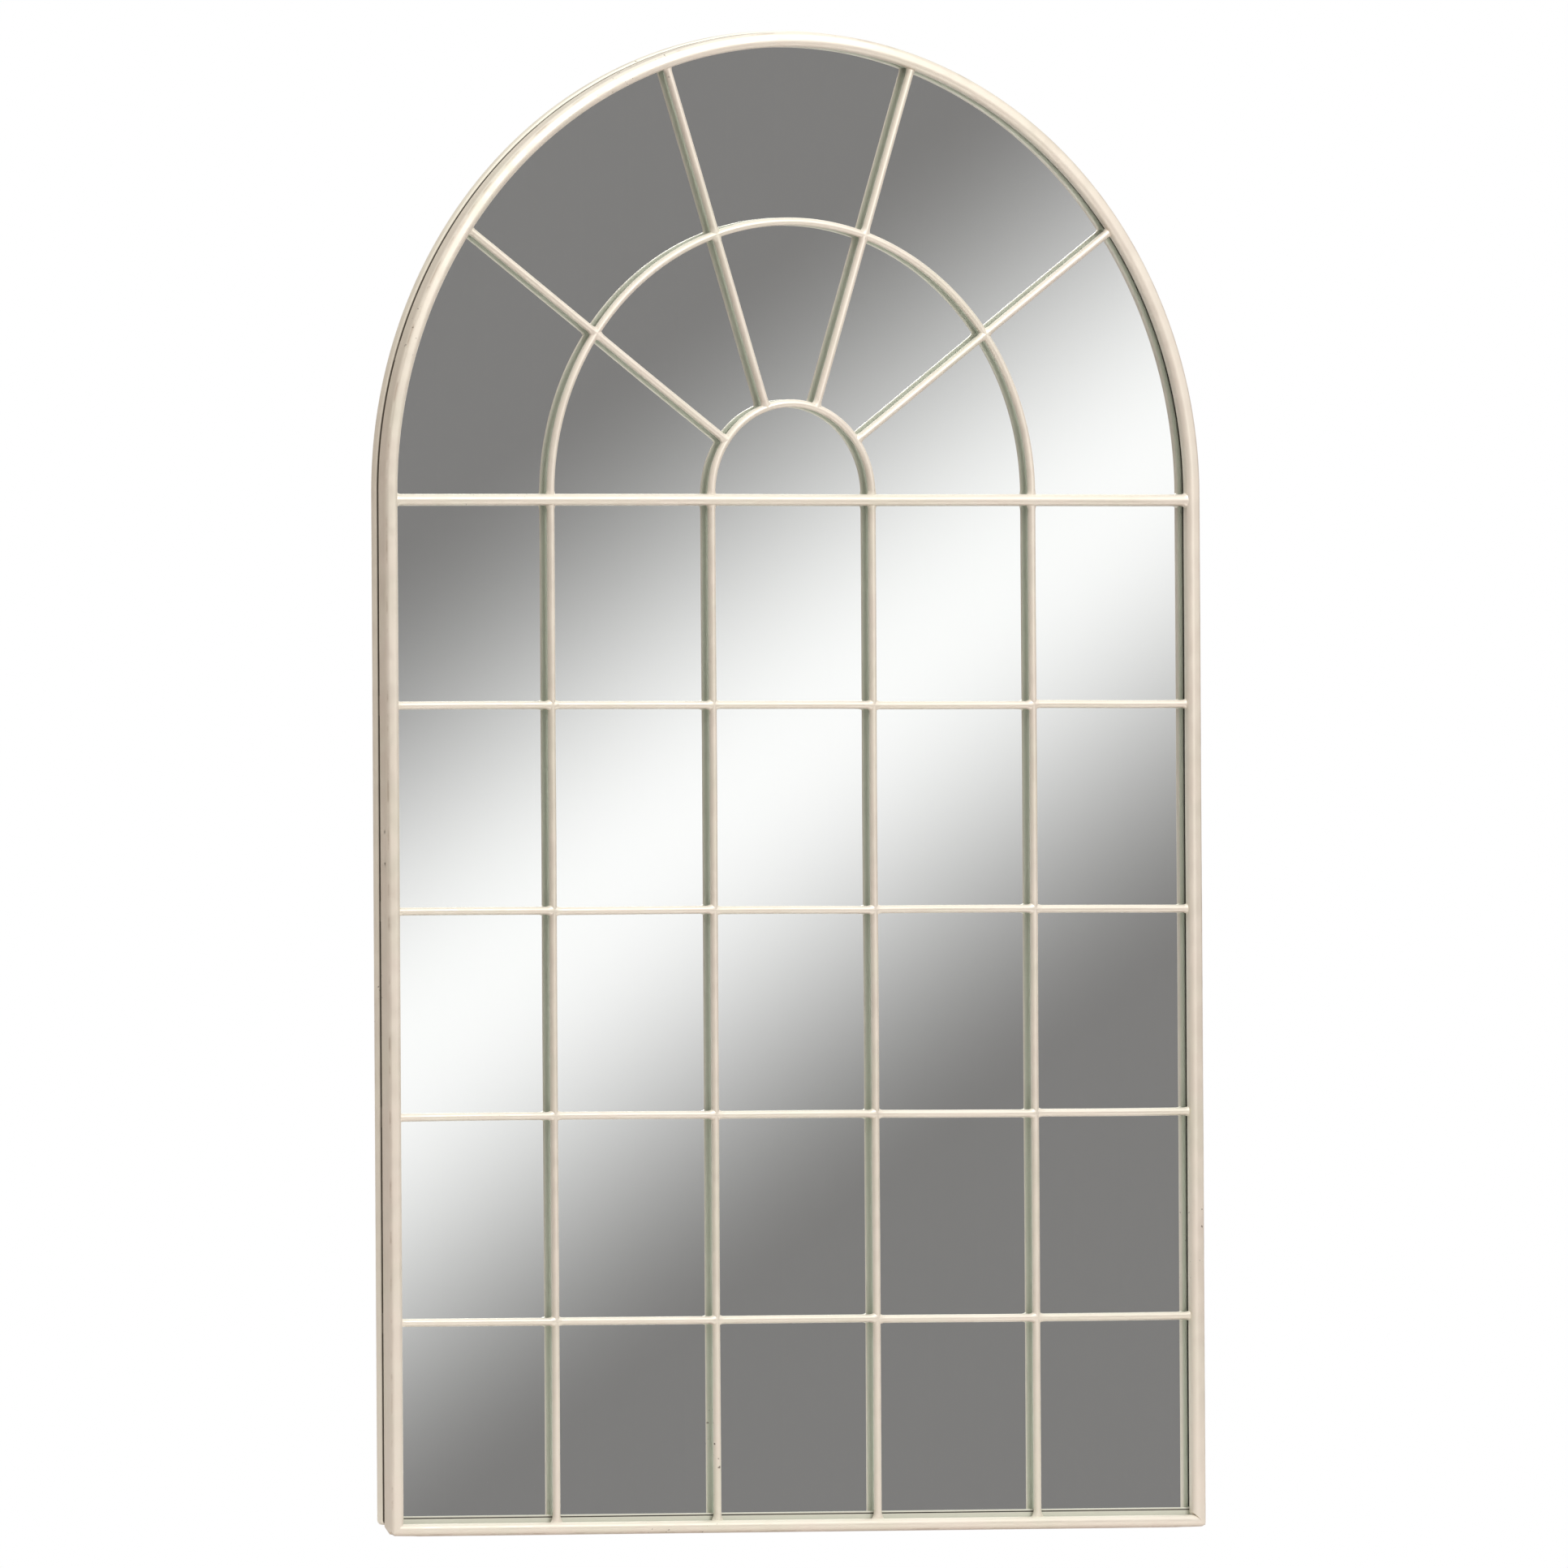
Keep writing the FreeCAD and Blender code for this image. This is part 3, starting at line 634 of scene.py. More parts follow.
class Finish:
    """Procedural material built round one Principled shader."""

    def __init__(self, name: str) -> None:
        """Start a material of that name, with only its shader and its output."""
        self.material = bpy.data.materials.new(name)
        self.material.use_nodes = True
        tree = self.material.node_tree
        tree.nodes.clear()
        self.write = NodeWriter(tree)
        self.shader = self.write.add("ShaderNodeBsdfPrincipled")
        self.output = self.write.add("ShaderNodeOutputMaterial", {"Surface": self.shader.outputs[0]})

    def bump(self, height: Socket, depth: float, strength: float) -> None:
        """Feed the shader's normal from a height."""
        node = self.write.add("ShaderNodeBump", {"Height": height, "Distance": depth, "Strength": strength})
        self.write.feed(self.shader.inputs["Normal"], node.outputs[0])

    def set(self, **values: Any) -> None:
        """Feed sockets of the shader; an underscore stands for a space."""
        for name, value in values.items():
            self.write.feed(self.shader.inputs[name.replace("_", " ")], value)


@dataclass(frozen=True)
class IvoryPaint:
    """Satin ivory enamel on steel, brushed on, a little uneven in tone and rubbed at the edges; painted
    shade darkens the bar backs and the gap, and painted light makes the rim paler.
    """

    cream: Color = (0.810, 0.765, 0.665, 1)
    olive: Color = (0.770, 0.742, 0.625, 1)
    rose: Color = (0.800, 0.730, 0.635, 1)
    # Painted shade: dark olive for the back half of the bars.
    rear: Color = (0.560, 0.580, 0.460, 1)
    # Painted light: paler, greener paint for the rim behind the gap.
    rim: Color = (0.940, 0.920, 0.790, 1)
    primer: Color = (0.300, 0.200, 0.120, 1)
    scar: Color = (0.075, 0.050, 0.032, 1)
    # Painted shade: near black laid in the shadow gap.
    dust: Color = (0.055, 0.045, 0.028, 1)
    rear_share: float = 0.8
    rim_share: float = 0.75
    dust_share: float = 0.8
    rub_share: float = 0.4
    scar_share: float = 0.85
    rub_width: float = 1.9 * MM
    rub_breaks: float = 34.0
    chip_depth: float = 0.8
    metallic: float = 0.3

    def build(self, effects: Effects, layout: "Layout") -> bpy.types.Material:
        """Build the material.

        Args:
            effects: Shared effects.
            layout: Sizes of the frame, which the worn edge follows.

        Returns:
            The material.
        """
        finish = Finish("ivory_paint")
        write = finish.write
        slow = effects.tone(write, self.cream, self.olive, 7.0, 1.0)
        tone = write.blend(0.5, slow, effects.tone(write, slow, self.rose, 23.0, 4.0))
        rub_and_shade = effects.wear.put(write, {
            "Springing": layout.springing, "Rail Height": layout.rail_z, "Half Width": layout.half,
            "Edge Out": layout.half + layout.arris_out, "Edge Front": layout.tube_y - layout.arris_front,
            "Width": self.rub_width, "Breaks": self.rub_breaks, "Gap Out": layout.gap_out,
            "Gap Front": layout.gap_front, "Gap Back": layout.gap_back, "Bar Depth": layout.bar_y})
        chip = effects.chips.put(write, {"Cluster Scale": 3.1, "Chip Scale": 190.0, "Cluster": 0.63,
                                         "Chip": 0.66})["Mask"]
        rub_and_light_tints = (
            (rub_and_shade["Rear"], self.rear_share, self.rear), (rub_and_shade["Rim"], self.rim_share, self.rim),
            (rub_and_shade["Gap"], self.dust_share, self.dust), (rub_and_shade["Mask"], self.rub_share, self.primer),
            (chip, self.scar_share, self.scar),
        )
        for mask, share, color in rub_and_light_tints:
            tone = write.tint(mask, share, tone, color)
        grain = effects.fine(write, 420.0, 0.34, 0.50)
        finish.set(Base_Color=tone, Roughness=grain["Roughness"], Metallic=self.metallic)
        height = write.math("SUBTRACT", grain["Height"], write.math("MULTIPLY", chip, self.chip_depth))
        finish.bump(height, 0.08 * MM, 0.6)
        return finish.material


@dataclass(frozen=True)
class SilveredGlass:
    """Float glass silvered on the back, with a faint green cast, and darker to light that has bounced, a
    painted shade on the parts that face it.
    """

    clear: Color = (0.930, 0.945, 0.938, 1)
    cast: Color = (0.924, 0.942, 0.932, 1)
    # Colour of the ground edge and back lacquer, also used for the painted shade on bounced rays.
    edge: Color = (0.060, 0.090, 0.070, 1)
    absorbed: float = 0.2
    dull: float = 0.5
    edge_start: float = 0.05 * MM
    edge_end: float = 0.2 * MM

    def build(self, effects: Effects, face: float) -> bpy.types.Material:
        """Build the material.

        Args:
            effects: Shared effects.
            face: Depth of the front face; what lies behind it is ground edge and dark lacquer.

        Returns:
            The material.
        """
        finish = Finish("silvered_glass")
        write = finish.write
        tone = effects.tone(write, self.clear, self.cast, 2.0, 2.0)
        grain = effects.fine(write, 40.0, 0.003, 0.009)
        behind = write.ramp(write.split(write.here())[1], face + self.edge_start, face + self.edge_end)
        rough = write.math("MULTIPLY_ADD", behind, self.dull, grain["Roughness"])
        path = write.add("ShaderNodeLightPath")
        bounced = write.math("MAXIMUM", path.outputs["Is Diffuse Ray"], path.outputs["Is Glossy Ray"])
        rough = write.math("MULTIPLY_ADD", bounced, self.dull, rough)
        # Painted shade: bounced rays see the glass pulled toward the dark edge colour, so bars facing it get
        # less light.
        dark = write.math("MULTIPLY_ADD", bounced, self.absorbed, behind, clamp=True)
        finish.set(Base_Color=write.blend(dark, tone, self.edge), Roughness=rough, Metallic=1.0)
        return finish.material


@dataclass(frozen=True)
class GlazingRubber:
    """Dark glazing strip, dusty in places, with a painted reflection of the bottom rail as pale bands along
    both edges of its lower run.
    """

    black: Color = (0.016, 0.014, 0.010, 1)
    dust: Color = (0.050, 0.044, 0.031, 1)
    # Painted reflection: pale grey-green for the bottom rail seen in the glass.
    splash: Color = (0.620, 0.640, 0.560, 1)
    lower_edge: tuple[float, float] = (-3.1 * MM, -3.7 * MM)
    upper_start: tuple[float, float] = (-2.2 * MM, -1.7 * MM)
    upper_end: tuple[float, float] = (1.0 * MM, 0.2 * MM)

    def build(self, effects: Effects, sill: float) -> bpy.types.Material:
        """Build the material.

        Args:
            effects: Shared effects.
            sill: Height of the top of the lower run.

        Returns:
            The material.
        """
        finish = Finish("glazing_rubber")
        write = finish.write
        tone = effects.tone(write, self.black, self.dust, 19.0, 6.0)
        grain = effects.fine(write, 700.0, 0.65, 0.85)
        height = write.split(write.here())[2]
        lower, start, end = (write.ramp(height, sill + low, sill + high) for low, high in
                             (self.lower_edge, self.upper_start, self.upper_end))
        # Painted reflection: pale bands on the lower run stand in for the bottom rail reflected in the
        # glass.
        rail_reflection_bands = write.math("ADD", lower, write.math("MULTIPLY", start, end), clamp=True)
        finish.set(Base_Color=write.blend(rail_reflection_bands, tone, self.splash), Roughness=grain["Roughness"])
        finish.bump(grain["Height"], 0.06 * MM, 0.5)
        return finish.material


@dataclass(frozen=True)
class Hardboard:
    """Pressed wood fibre, brown and flecked."""

    brown: Color = (0.205, 0.112, 0.056, 1)
    pale: Color = (0.245, 0.140, 0.072, 1)
    fleck: Color = (0.090, 0.046, 0.024, 1)
    fleck_share: float = 0.75

    def build(self, effects: Effects) -> bpy.types.Material:
        """Build the material.

        Args:
            effects: Shared effects.

        Returns:
            The material.
        """
        finish = Finish("hardboard")
        write = finish.write
        tone = effects.tone(write, self.brown, self.pale, 5.0, 8.0)
        fibre = effects.fine(write, 520.0, 0.62, 0.86, (1.0, 1.0, 0.22))
        flecks = write.ramp(fibre["Height"], 0.58, 0.72, 0.0, self.fleck_share)
        finish.set(Base_Color=write.blend(flecks, tone, self.fleck), Roughness=fibre["Roughness"])
        finish.bump(fibre["Height"], 0.12 * MM, 0.7)
        return finish.material


@dataclass(frozen=True)
class ZincPlate:
    """Bright zinc on small steel hardware, with fine drawn lines."""

    bright: Color = (0.66, 0.66, 0.62, 1)
    dull: Color = (0.47, 0.48, 0.46, 1)

    def build(self, effects: Effects) -> bpy.types.Material:
        """Build the material.

        Args:
            effects: Shared effects.

        Returns:
            The material.
        """
        finish = Finish("zinc_plate")
        tone = effects.tone(finish.write, self.bright, self.dull, 90.0, 9.0)
        grain = effects.fine(finish.write, 2600.0, 0.26, 0.44, (1.0, 1.0, 0.1))
        finish.set(Base_Color=tone, Roughness=grain["Roughness"], Metallic=1.0)
        finish.bump(grain["Height"], 0.03 * MM, 0.4)
        return finish.material


@dataclass(frozen=True)
class Finishes:
    """The built materials of the object."""

    ivory: bpy.types.Material
    glass: bpy.types.Material
    rubber: bpy.types.Material
    board: bpy.types.Material
    zinc: bpy.types.Material


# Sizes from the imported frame


def middle(node: str, axis: str) -> float:
    """Middle of a node's box along an axis."""
    low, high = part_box(node)
    return (getattr(low, axis) + getattr(high, axis)) / 2


def half_size(node: str, axis: str) -> float:
    """Half the size of a node's box along an axis."""
    low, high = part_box(node)
    return (getattr(high, axis) - getattr(low, axis)) / 2


@dataclass(frozen=True)
class Layout:
    """Places and sizes of the grille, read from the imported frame, in metres."""

    tube_r: float
    tube_y: float
    half: float
    springing: float
    rail_z: float
    bar_r: float
    bar_y: float
    transom_r: float
    transom_y: float
    transom_z: float
    columns: tuple[float, ...]
    rows: tuple[float, ...]
    arcs: dict[str, float]
    gap_out: float
    gap_front: float
    gap_back: float
    gap_inset: float = 1.5 * MM
    arris_out: float = 7.6 * MM
    arris_front: float = 5.4 * MM
    foot_slope: float = 0.683
    foot_start: float = 5.0 * MM

    @property
    def foot_front(self) -> float:
        """Depth where the ground foot of the lower corners begins to rise."""
        return self.tube_y - self.tube_r + self.foot_start

    def foot(self, y: float) -> float:
        """Height of the ground foot at a depth."""
        return self.rail_z - self.tube_r + (y - self.foot_front) * self.foot_slope

    @classmethod
    def read(cls) -> "Layout":
        """Read the sizes from the nodes' boxes."""
        tube_low, tube_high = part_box("arch_tube")
        rim_low, rim_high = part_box("rear_rim")
        tube_r = half_size("arch_tube", "y")
        bar_r = half_size("upright_bar_1", "x")
        half = tube_high.x - tube_r
        uprights = [middle(f"upright_bar_{i}", "x") for i in range(1, COLUMNS)]
        arcs = {label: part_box(f"{label}_arc")[1].x - bar_r for label in ("small", "middle")}
        return cls(
            tube_r=tube_r, tube_y=middle("arch_tube", "y"), half=half, springing=tube_low.z,
            rail_z=middle("bottom_rail", "z"), bar_r=bar_r, bar_y=middle("upright_bar_1", "y"),
            transom_r=half_size("transom", "y"), transom_y=middle("transom", "y"),
            transom_z=middle("transom", "z"), columns=(-half, *uprights, half),
            rows=tuple(middle(f"cross_bar_row_{i}_column_3", "z") for i in range(1, ROWS)),
            arcs={**arcs, "arch": half}, gap_out=rim_high.x - cls.gap_inset,
            gap_front=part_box("left_skirt")[1].y, gap_back=rim_low.y)

    def around(self, radius: float, degrees: float, y: float) -> Vector:
        """Point on an arc about the middle of the springing line."""
        angle = math.radians(degrees)
        return Vector((radius * math.cos(angle), y, self.springing + radius * math.sin(angle)))

    def hoop(self, radius: float, y: float, steps: int = HOOP_STEPS) -> list[Vector]:
        """Points of a half hoop on the springing line, from right to left."""
        return [self.around(radius, 180 * i / steps, y) for i in range(steps + 1)]


# Meshes and paths


def add_object(name: str, mesh: bpy.types.Mesh) -> bpy.types.Object:
    """Put a mesh in the scene.

    Args:
        name: Name of the object and of its mesh.
        mesh: The mesh.

    Returns:
        The object.
    """
    mesh.name = name
    obj = bpy.data.objects.new(name, mesh)
    bpy.context.scene.collection.objects.link(obj)
    return obj


def path_object(name: str, points: Sequence[Vector], closed: bool = False) -> bpy.types.Object:
    """Make an object of a chain of edges.

    Args:
        name: Name of the object.
        points: Points of the chain.
        closed: Whether the last point is joined to the first.

    Returns:
        The object.
    """
    count = len(points)
    edges = [(i, (i + 1) % count) for i in range(count if closed else count - 1)]
    mesh = bpy.data.meshes.new(name)
    mesh.from_pydata([tuple(point) for point in points], edges, [])
    return add_object(name, mesh)


def points_object(name: str, points: Sequence[Vector]) -> bpy.types.Object:
    """Make an object of loose points."""
    mesh = bpy.data.meshes.new(name)
    mesh.from_pydata([tuple(point) for point in points], [], [])
    return add_object(name, mesh)


def straight(start: Vector, end: Vector, step: float) -> list[Vector]:
    """Evenly spaced points on a line."""
    count = max(1, math.ceil((end - start).length / step))
    return [start.lerp(end, i / count) for i in range(count + 1)]


def surface_mesh(name: str, rings: Sequence[Sequence[Vector]],
                 material: bpy.types.Material) -> bpy.types.Mesh:
    """Skin closed rings of equal length that themselves close into a loop.

    Args:
        name: Name of the mesh.
        rings: Rings of points.
        material: Material of the mesh.

    Returns:
        The mesh, smooth up to sharp edges, with its faces outwards.
    """
    total, width = len(rings), len(rings[0])
    faces = []
    for i in range(total):
        here, there = i * width, (i + 1) % total * width
        for j in range(width):
            nxt = (j + 1) % width
            faces.append((here + j, there + j, there + nxt, here + nxt))
    mesh = bpy.data.meshes.new(name)
    mesh.from_pydata([tuple(point) for ring in rings for point in ring], [], faces)
    work = bmesh.new()
    work.from_mesh(mesh)
    bmesh.ops.remove_doubles(work, verts=work.verts, dist=WELD)
    bmesh.ops.recalc_face_normals(work, faces=work.faces)
    work.to_mesh(mesh)
    work.free()
    mesh.polygons.foreach_set("use_smooth", [True] * len(mesh.polygons))
    mesh.set_sharp_from_angle(angle=SHARP)
    mesh.materials.append(material)
    return mesh


def lathe(profile: Sequence[tuple[float, float]], sides: int) -> bmesh.types.BMesh:
    """Turn a profile about the Y axis, with closed ends.

    Args:
        profile: Radius and depth of each ring, from one end to the other.
        sides: Number of sides.

    Returns:
        The turned mesh.
    """
    work = bmesh.new()
    rings = []
    for radius, depth in profile:
        angles = [math.tau * i / sides for i in range(sides)]
        rings.append([work.verts.new((radius * math.cos(a), depth, radius * math.sin(a))) for a in angles])
    for low, high in zip(rings, rings[1:]):
        for i in range(sides):
            j = (i + 1) % sides
            work.faces.new((low[i], low[j], high[j], high[i]))
    work.faces.new(rings[0])
    work.faces.new(rings[-1])
    bmesh.ops.recalc_face_normals(work, faces=work.faces)
    return work


def hand_over(obj: bpy.types.Object, nodes: Sequence[str] = (), body: Body = Body.FRAME) -> None:
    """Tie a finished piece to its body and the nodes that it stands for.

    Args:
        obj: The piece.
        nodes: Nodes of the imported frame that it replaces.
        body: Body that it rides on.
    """
    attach(obj, body.value)
    if nodes:
        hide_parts(*nodes)
    LOG.info("%s: %d faces, for %s", obj.name, len(obj.data.polygons), ", ".join(nodes) or "no node")


def drive(node: str, places: Sequence[Vector], work: bmesh.types.BMesh, seed: int,
          zinc: bpy.types.Material) -> None:
    """Put a fastener on each place, and hand them over as one piece.

    Args:
        node: Node that the fasteners replace.
        places: Where they are.
        work: Turned mesh of one fastener.
        seed: Which of many sets of turns.
        zinc: Their material.
    """
    mesh = bpy.data.meshes.new("fastener")
    work.to_mesh(mesh)
    work.free()
    fastener = add_object("fastener", mesh)
    obj = points_object(f"{node}_finished", places)
    Fasteners().make(obj, {"Fastener": fastener, "Seed": seed, "Material": zinc})
    bpy.data.objects.remove(fastener)
    hand_over(obj, [node])


def dress(material: bpy.types.Material, *nodes: str) -> None:
    """Give kept nodes their material.

    Args:
        material: The material.
        *nodes: Names of the nodes.
    """
    for node in nodes:
        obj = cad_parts[node]
        obj.data.materials.clear()
        obj.data.materials.append(material)
        LOG.info("%s: kept, in %s", node, material.name)


# Sub-assemblies


@dataclass
class OuterFrame:
    """Arch, stiles and bottom rail of tube, flat on the outside and round on the inside."""

    layout: Layout
    paint: bpy.types.Material
    front_outer: float = 5.0 * MM
    front_inner: float = 7.5 * MM
    back: float = 6.0 * MM
    crown: float = 2.5 * MM
    rail_height: float = 15.0 * MM
    rail_edge: float = 7.2 * MM
    rail_under: float = 7.0 * MM
    corner_round: float = 9.0 * MM
    mitre_reach: float = 30.0 * MM
    mitre_step: float = 1.2 * MM
    run_step: float = 20.0 * MM
    sway: float = 0.5 * MM

    def build(self) -> None:
        """Make the four tubes and hand them over."""
        recipe = FrameTube()
        lay = self.layout
        left, right = (Vector((x, lay.tube_y, lay.rail_z)) for x in (-lay.half, lay.half))
        thin = Vector((0, 0, self.rail_height / 2 - lay.tube_r))
        head = lay.hoop(lay.half, lay.tube_y)
        runs = {
            "left_stile": (self.run(left, lay.around(lay.half, 180, lay.tube_y))[::-1], 1.0, 0.0),
            "bottom_rail": (self.run(left + thin, right + thin, both=True), 0.0, 1.0),
            "right_stile": (self.run(right, lay.around(lay.half, 0, lay.tube_y)), 1.0, 0.0),
            "arch_tube": (head, 0.0, 0.0),
        }
        for seed, (node, (points, stile, rail)) in enumerate(runs.items()):
            recipe.stand_for(node, points, Slot.IVORY, {
                "Depth": 2 * lay.tube_r, "Width": self.rail_height if rail else 2 * lay.tube_r,
                "Front Outer": self.rail_under if rail else self.front_outer,
                "Front Inner": self.rail_edge if rail else self.front_inner, "Back": self.back,
                "Crown": self.crown, "Sway": self.sway * (1 - rail), "Seed": float(seed),
                "Half Width": lay.half, "Rail Height": lay.rail_z, "Mitre Reach": self.mitre_reach,
                "Stile Mitre": stile, "Rail Mitre": rail, "Corner Round": self.corner_round,
                "Front": lay.foot_front, "Foot Slope": lay.foot_slope, "Material": self.paint})

    def run(self, start: Vector, end: Vector, both: bool = False) -> list[Vector]:
        """Points of a straight run, close together near a mitre.

        Args:
            start: The mitred end.
            end: The other end.
            both: Whether that end is mitred too.

        Returns:
            The points from start to end.
        """
        way = (end - start).normalized() * self.mitre_reach
        near = straight(start, start + way, self.mitre_step)
        far = straight(end - way, end, self.mitre_step) if both else [end]
        return near[:-1] + straight(start + way, far[0], self.run_step) + far[1:]


@dataclass
class Joint:
    """End of a bar on the bar that carries it."""

    place: Vector
    along: Vector
    radius: float
    carrier: float


@dataclass
class Grille:
    """Transom, uprights, cross bars and fanlight of round bar, and the filled welds where they meet."""

    layout: Layout
    paint: bpy.types.Material
    step: float = 8 * MM
    sway: float = 0.7 * MM
    out_of_level: float = 0.7 * MM
    bite: float = 3.0 * MM
    thicker: float = 1.2
    flare_root: float = 4.7 * MM
    flare_reach: float = 11.0 * MM
    flare: float = 1.0
    flare_lump: float = 0.25 * MM
    flare_seed: float = 3.0
    sides: int = 28
    arc_steps: int = 200
    seed: int = 41
    last_pattern: float = 50.0

    def __post_init__(self) -> None:
        """Start with no joints."""
        self.joints: list[Joint] = []
        self.recipe = RoundBar()
        self.chance = random.Random(self.seed)

    def bar(self, node: str, start: Vector, end: Vector, radius: float,
            carriers: Sequence[float]) -> None:
        """Make a straight bar between the axes of two others.

        Args:
            node: Node that the bar replaces.
            start: Where its axis meets the first carrier.
            end: Where its axis meets the second one.
            radius: Its radius.
            carriers: Radii of the two carriers.
        """
        along = (end - start).normalized()
        first, last = (max(carrier - self.bite, 0.0) if carrier > radius * self.thicker else 0.0
                       for carrier in carriers)
        self.joints.append(Joint(start, along, radius, carriers[0]))
        self.joints.append(Joint(end, -along, radius, carriers[1]))
        self.sweep(node, [start + along * first, end - along * last], radius)

    def sweep(self, node: str, points: Sequence[Vector], radius: float) -> None:
        """Sweep a bar along points and hand it over.

        Args:
            node: Node that the bar replaces.
            points: Points of its axis.
            radius: Its radius.
        """
        self.recipe.stand_for(node, points, Slot.IVORY, {
            "Radius": radius, "Step": self.step, "Sides": self.sides, "Sway": self.sway,
            "Seed": self.chance.uniform(0, self.last_pattern), "Material": self.paint})

    def build(self) -> None:
        """Make every bar, then the welds."""
        self.straight_bars()
        self.fanlight()
        self.welds()

    def straight_bars(self) -> None:
        """Make the transom, the uprights and the cross bars."""
        lay = self.layout
        beam = [Vector((x, lay.transom_y, lay.transom_z)) for x in (-lay.half, lay.half)]
        self.bar("transom", *beam, lay.transom_r, (lay.tube_r, lay.tube_r))
        for index, x in enumerate(lay.columns[1:-1], start=1):
            ends = [Vector((x, lay.bar_y, z)) for z in (lay.rail_z, lay.transom_z)]
            self.bar(f"upright_bar_{index}", *ends, lay.bar_r, (lay.tube_r, lay.transom_r))
        for row, z in enumerate(lay.rows, start=1):
            for column in range(COLUMNS):
                ends, carriers = [], []
                for index in (column, column + 1):
                    level = z + self.chance.uniform(-self.out_of_level, self.out_of_level)
                    ends.append(Vector((lay.columns[index], lay.bar_y, level)))
                    carriers.append(lay.tube_r if index in (0, COLUMNS) else lay.bar_r)
                self.bar(f"cross_bar_row_{row}_column_{column + 1}", *ends, lay.bar_r, carriers)

    def fanlight(self) -> None:
        """Make the two arcs and the spokes."""
        lay = self.layout
        lift = Vector((0, 0, lay.transom_r - self.bite))
        for label in ("small", "middle"):
            radius = lay.arcs[label]
            feet = [Vector((sign * radius, lay.bar_y, lay.transom_z)) for sign in (1, -1)]
            bend = lay.hoop(radius, lay.bar_y, self.arc_steps)
            self.sweep(f"{label}_arc", [feet[0] + lift, *bend, feet[1] + lift], lay.bar_r)
            for foot in feet:
                self.joints.append(Joint(foot, Vector((0, 0, 1)), lay.bar_r, lay.transom_r))
        rings = {"inner": ("small", "middle", lay.bar_r), "outer": ("middle", "arch", lay.tube_r)}
        for spoke in range(1, FAN_SECTORS):
            angle = 180 * spoke / FAN_SECTORS
            for label, (start, end, carrier) in rings.items():
                ends = [lay.around(lay.arcs[arc], angle, lay.bar_y) for arc in (start, end)]
                self.bar(f"{label}_spoke_{spoke}", *ends, lay.bar_r, (lay.bar_r, carrier))

    def welds(self) -> None:
        """Put a filled weld on the end of every bar."""
        obj = points_object("grille_welds", [
            joint.place + joint.along * max(joint.carrier - self.flare_root, 0.0) for joint in self.joints])
        along = obj.data.attributes.new("along", "FLOAT_VECTOR", "POINT")
        along.data.foreach_set("vector", [value for joint in self.joints for value in joint.along])
        radius = obj.data.attributes.new("bar_radius", "FLOAT", "POINT")
        radius.data.foreach_set("value", [joint.radius for joint in self.joints])
        WeldFlares().make(obj, {"Reach": self.flare_reach, "Flare": self.flare, "Lump": self.flare_lump,
                                "Sides": self.sides, "Seed": self.flare_seed, "Material": self.paint})
        hand_over(obj)


@dataclass
class Skirt:
    """Flat strip behind the outer tube."""

    layout: Layout
    paint: bpy.types.Material
    inset: float = 0.12 * MM
    tuck: float = 3.0 * MM
    foot_lift: float = 0.3 * MM
    slant_reach: float = 36.0 * MM
    edge: float = 0.6 * MM
    step: float = 6.0 * MM

    def build(self) -> None:
        """Make the bent head and the two straight sides."""
        lay = self.layout
        low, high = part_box("left_skirt")
        thickness = high.x - low.x
        front = low.y - self.tuck
        out = lay.half + lay.tube_r - self.inset - thickness / 2
        y = (front + high.y) / 2
        sill = lay.foot(high.y) + self.foot_lift
        recipe = Strip()
        right = straight(Vector((out, y, sill)), Vector((out, y, lay.springing)), self.step)
        left = [Vector((-point.x, point.y, point.z)) for point in reversed(right)]
        strips = {"arch_skirt": (lay.hoop(out, y), 0.0), "right_skirt": (right, lay.foot_slope),
                  "left_skirt": (left, lay.foot_slope)}
        for node, (points, slant) in strips.items():
            recipe.stand_for(node, points, Slot.IVORY, {
                "Depth": high.y - front, "Width": thickness, "Front Outer": self.edge,
                "Front Inner": self.edge, "Back": self.edge, "Crown": 0.0, "Sway": 0.0, "Seed": 0.0,
                "Slant": slant, "Slant Reach": self.slant_reach, "Foot Height": sill, "Foot Back": high.y,
                "Material": self.paint})


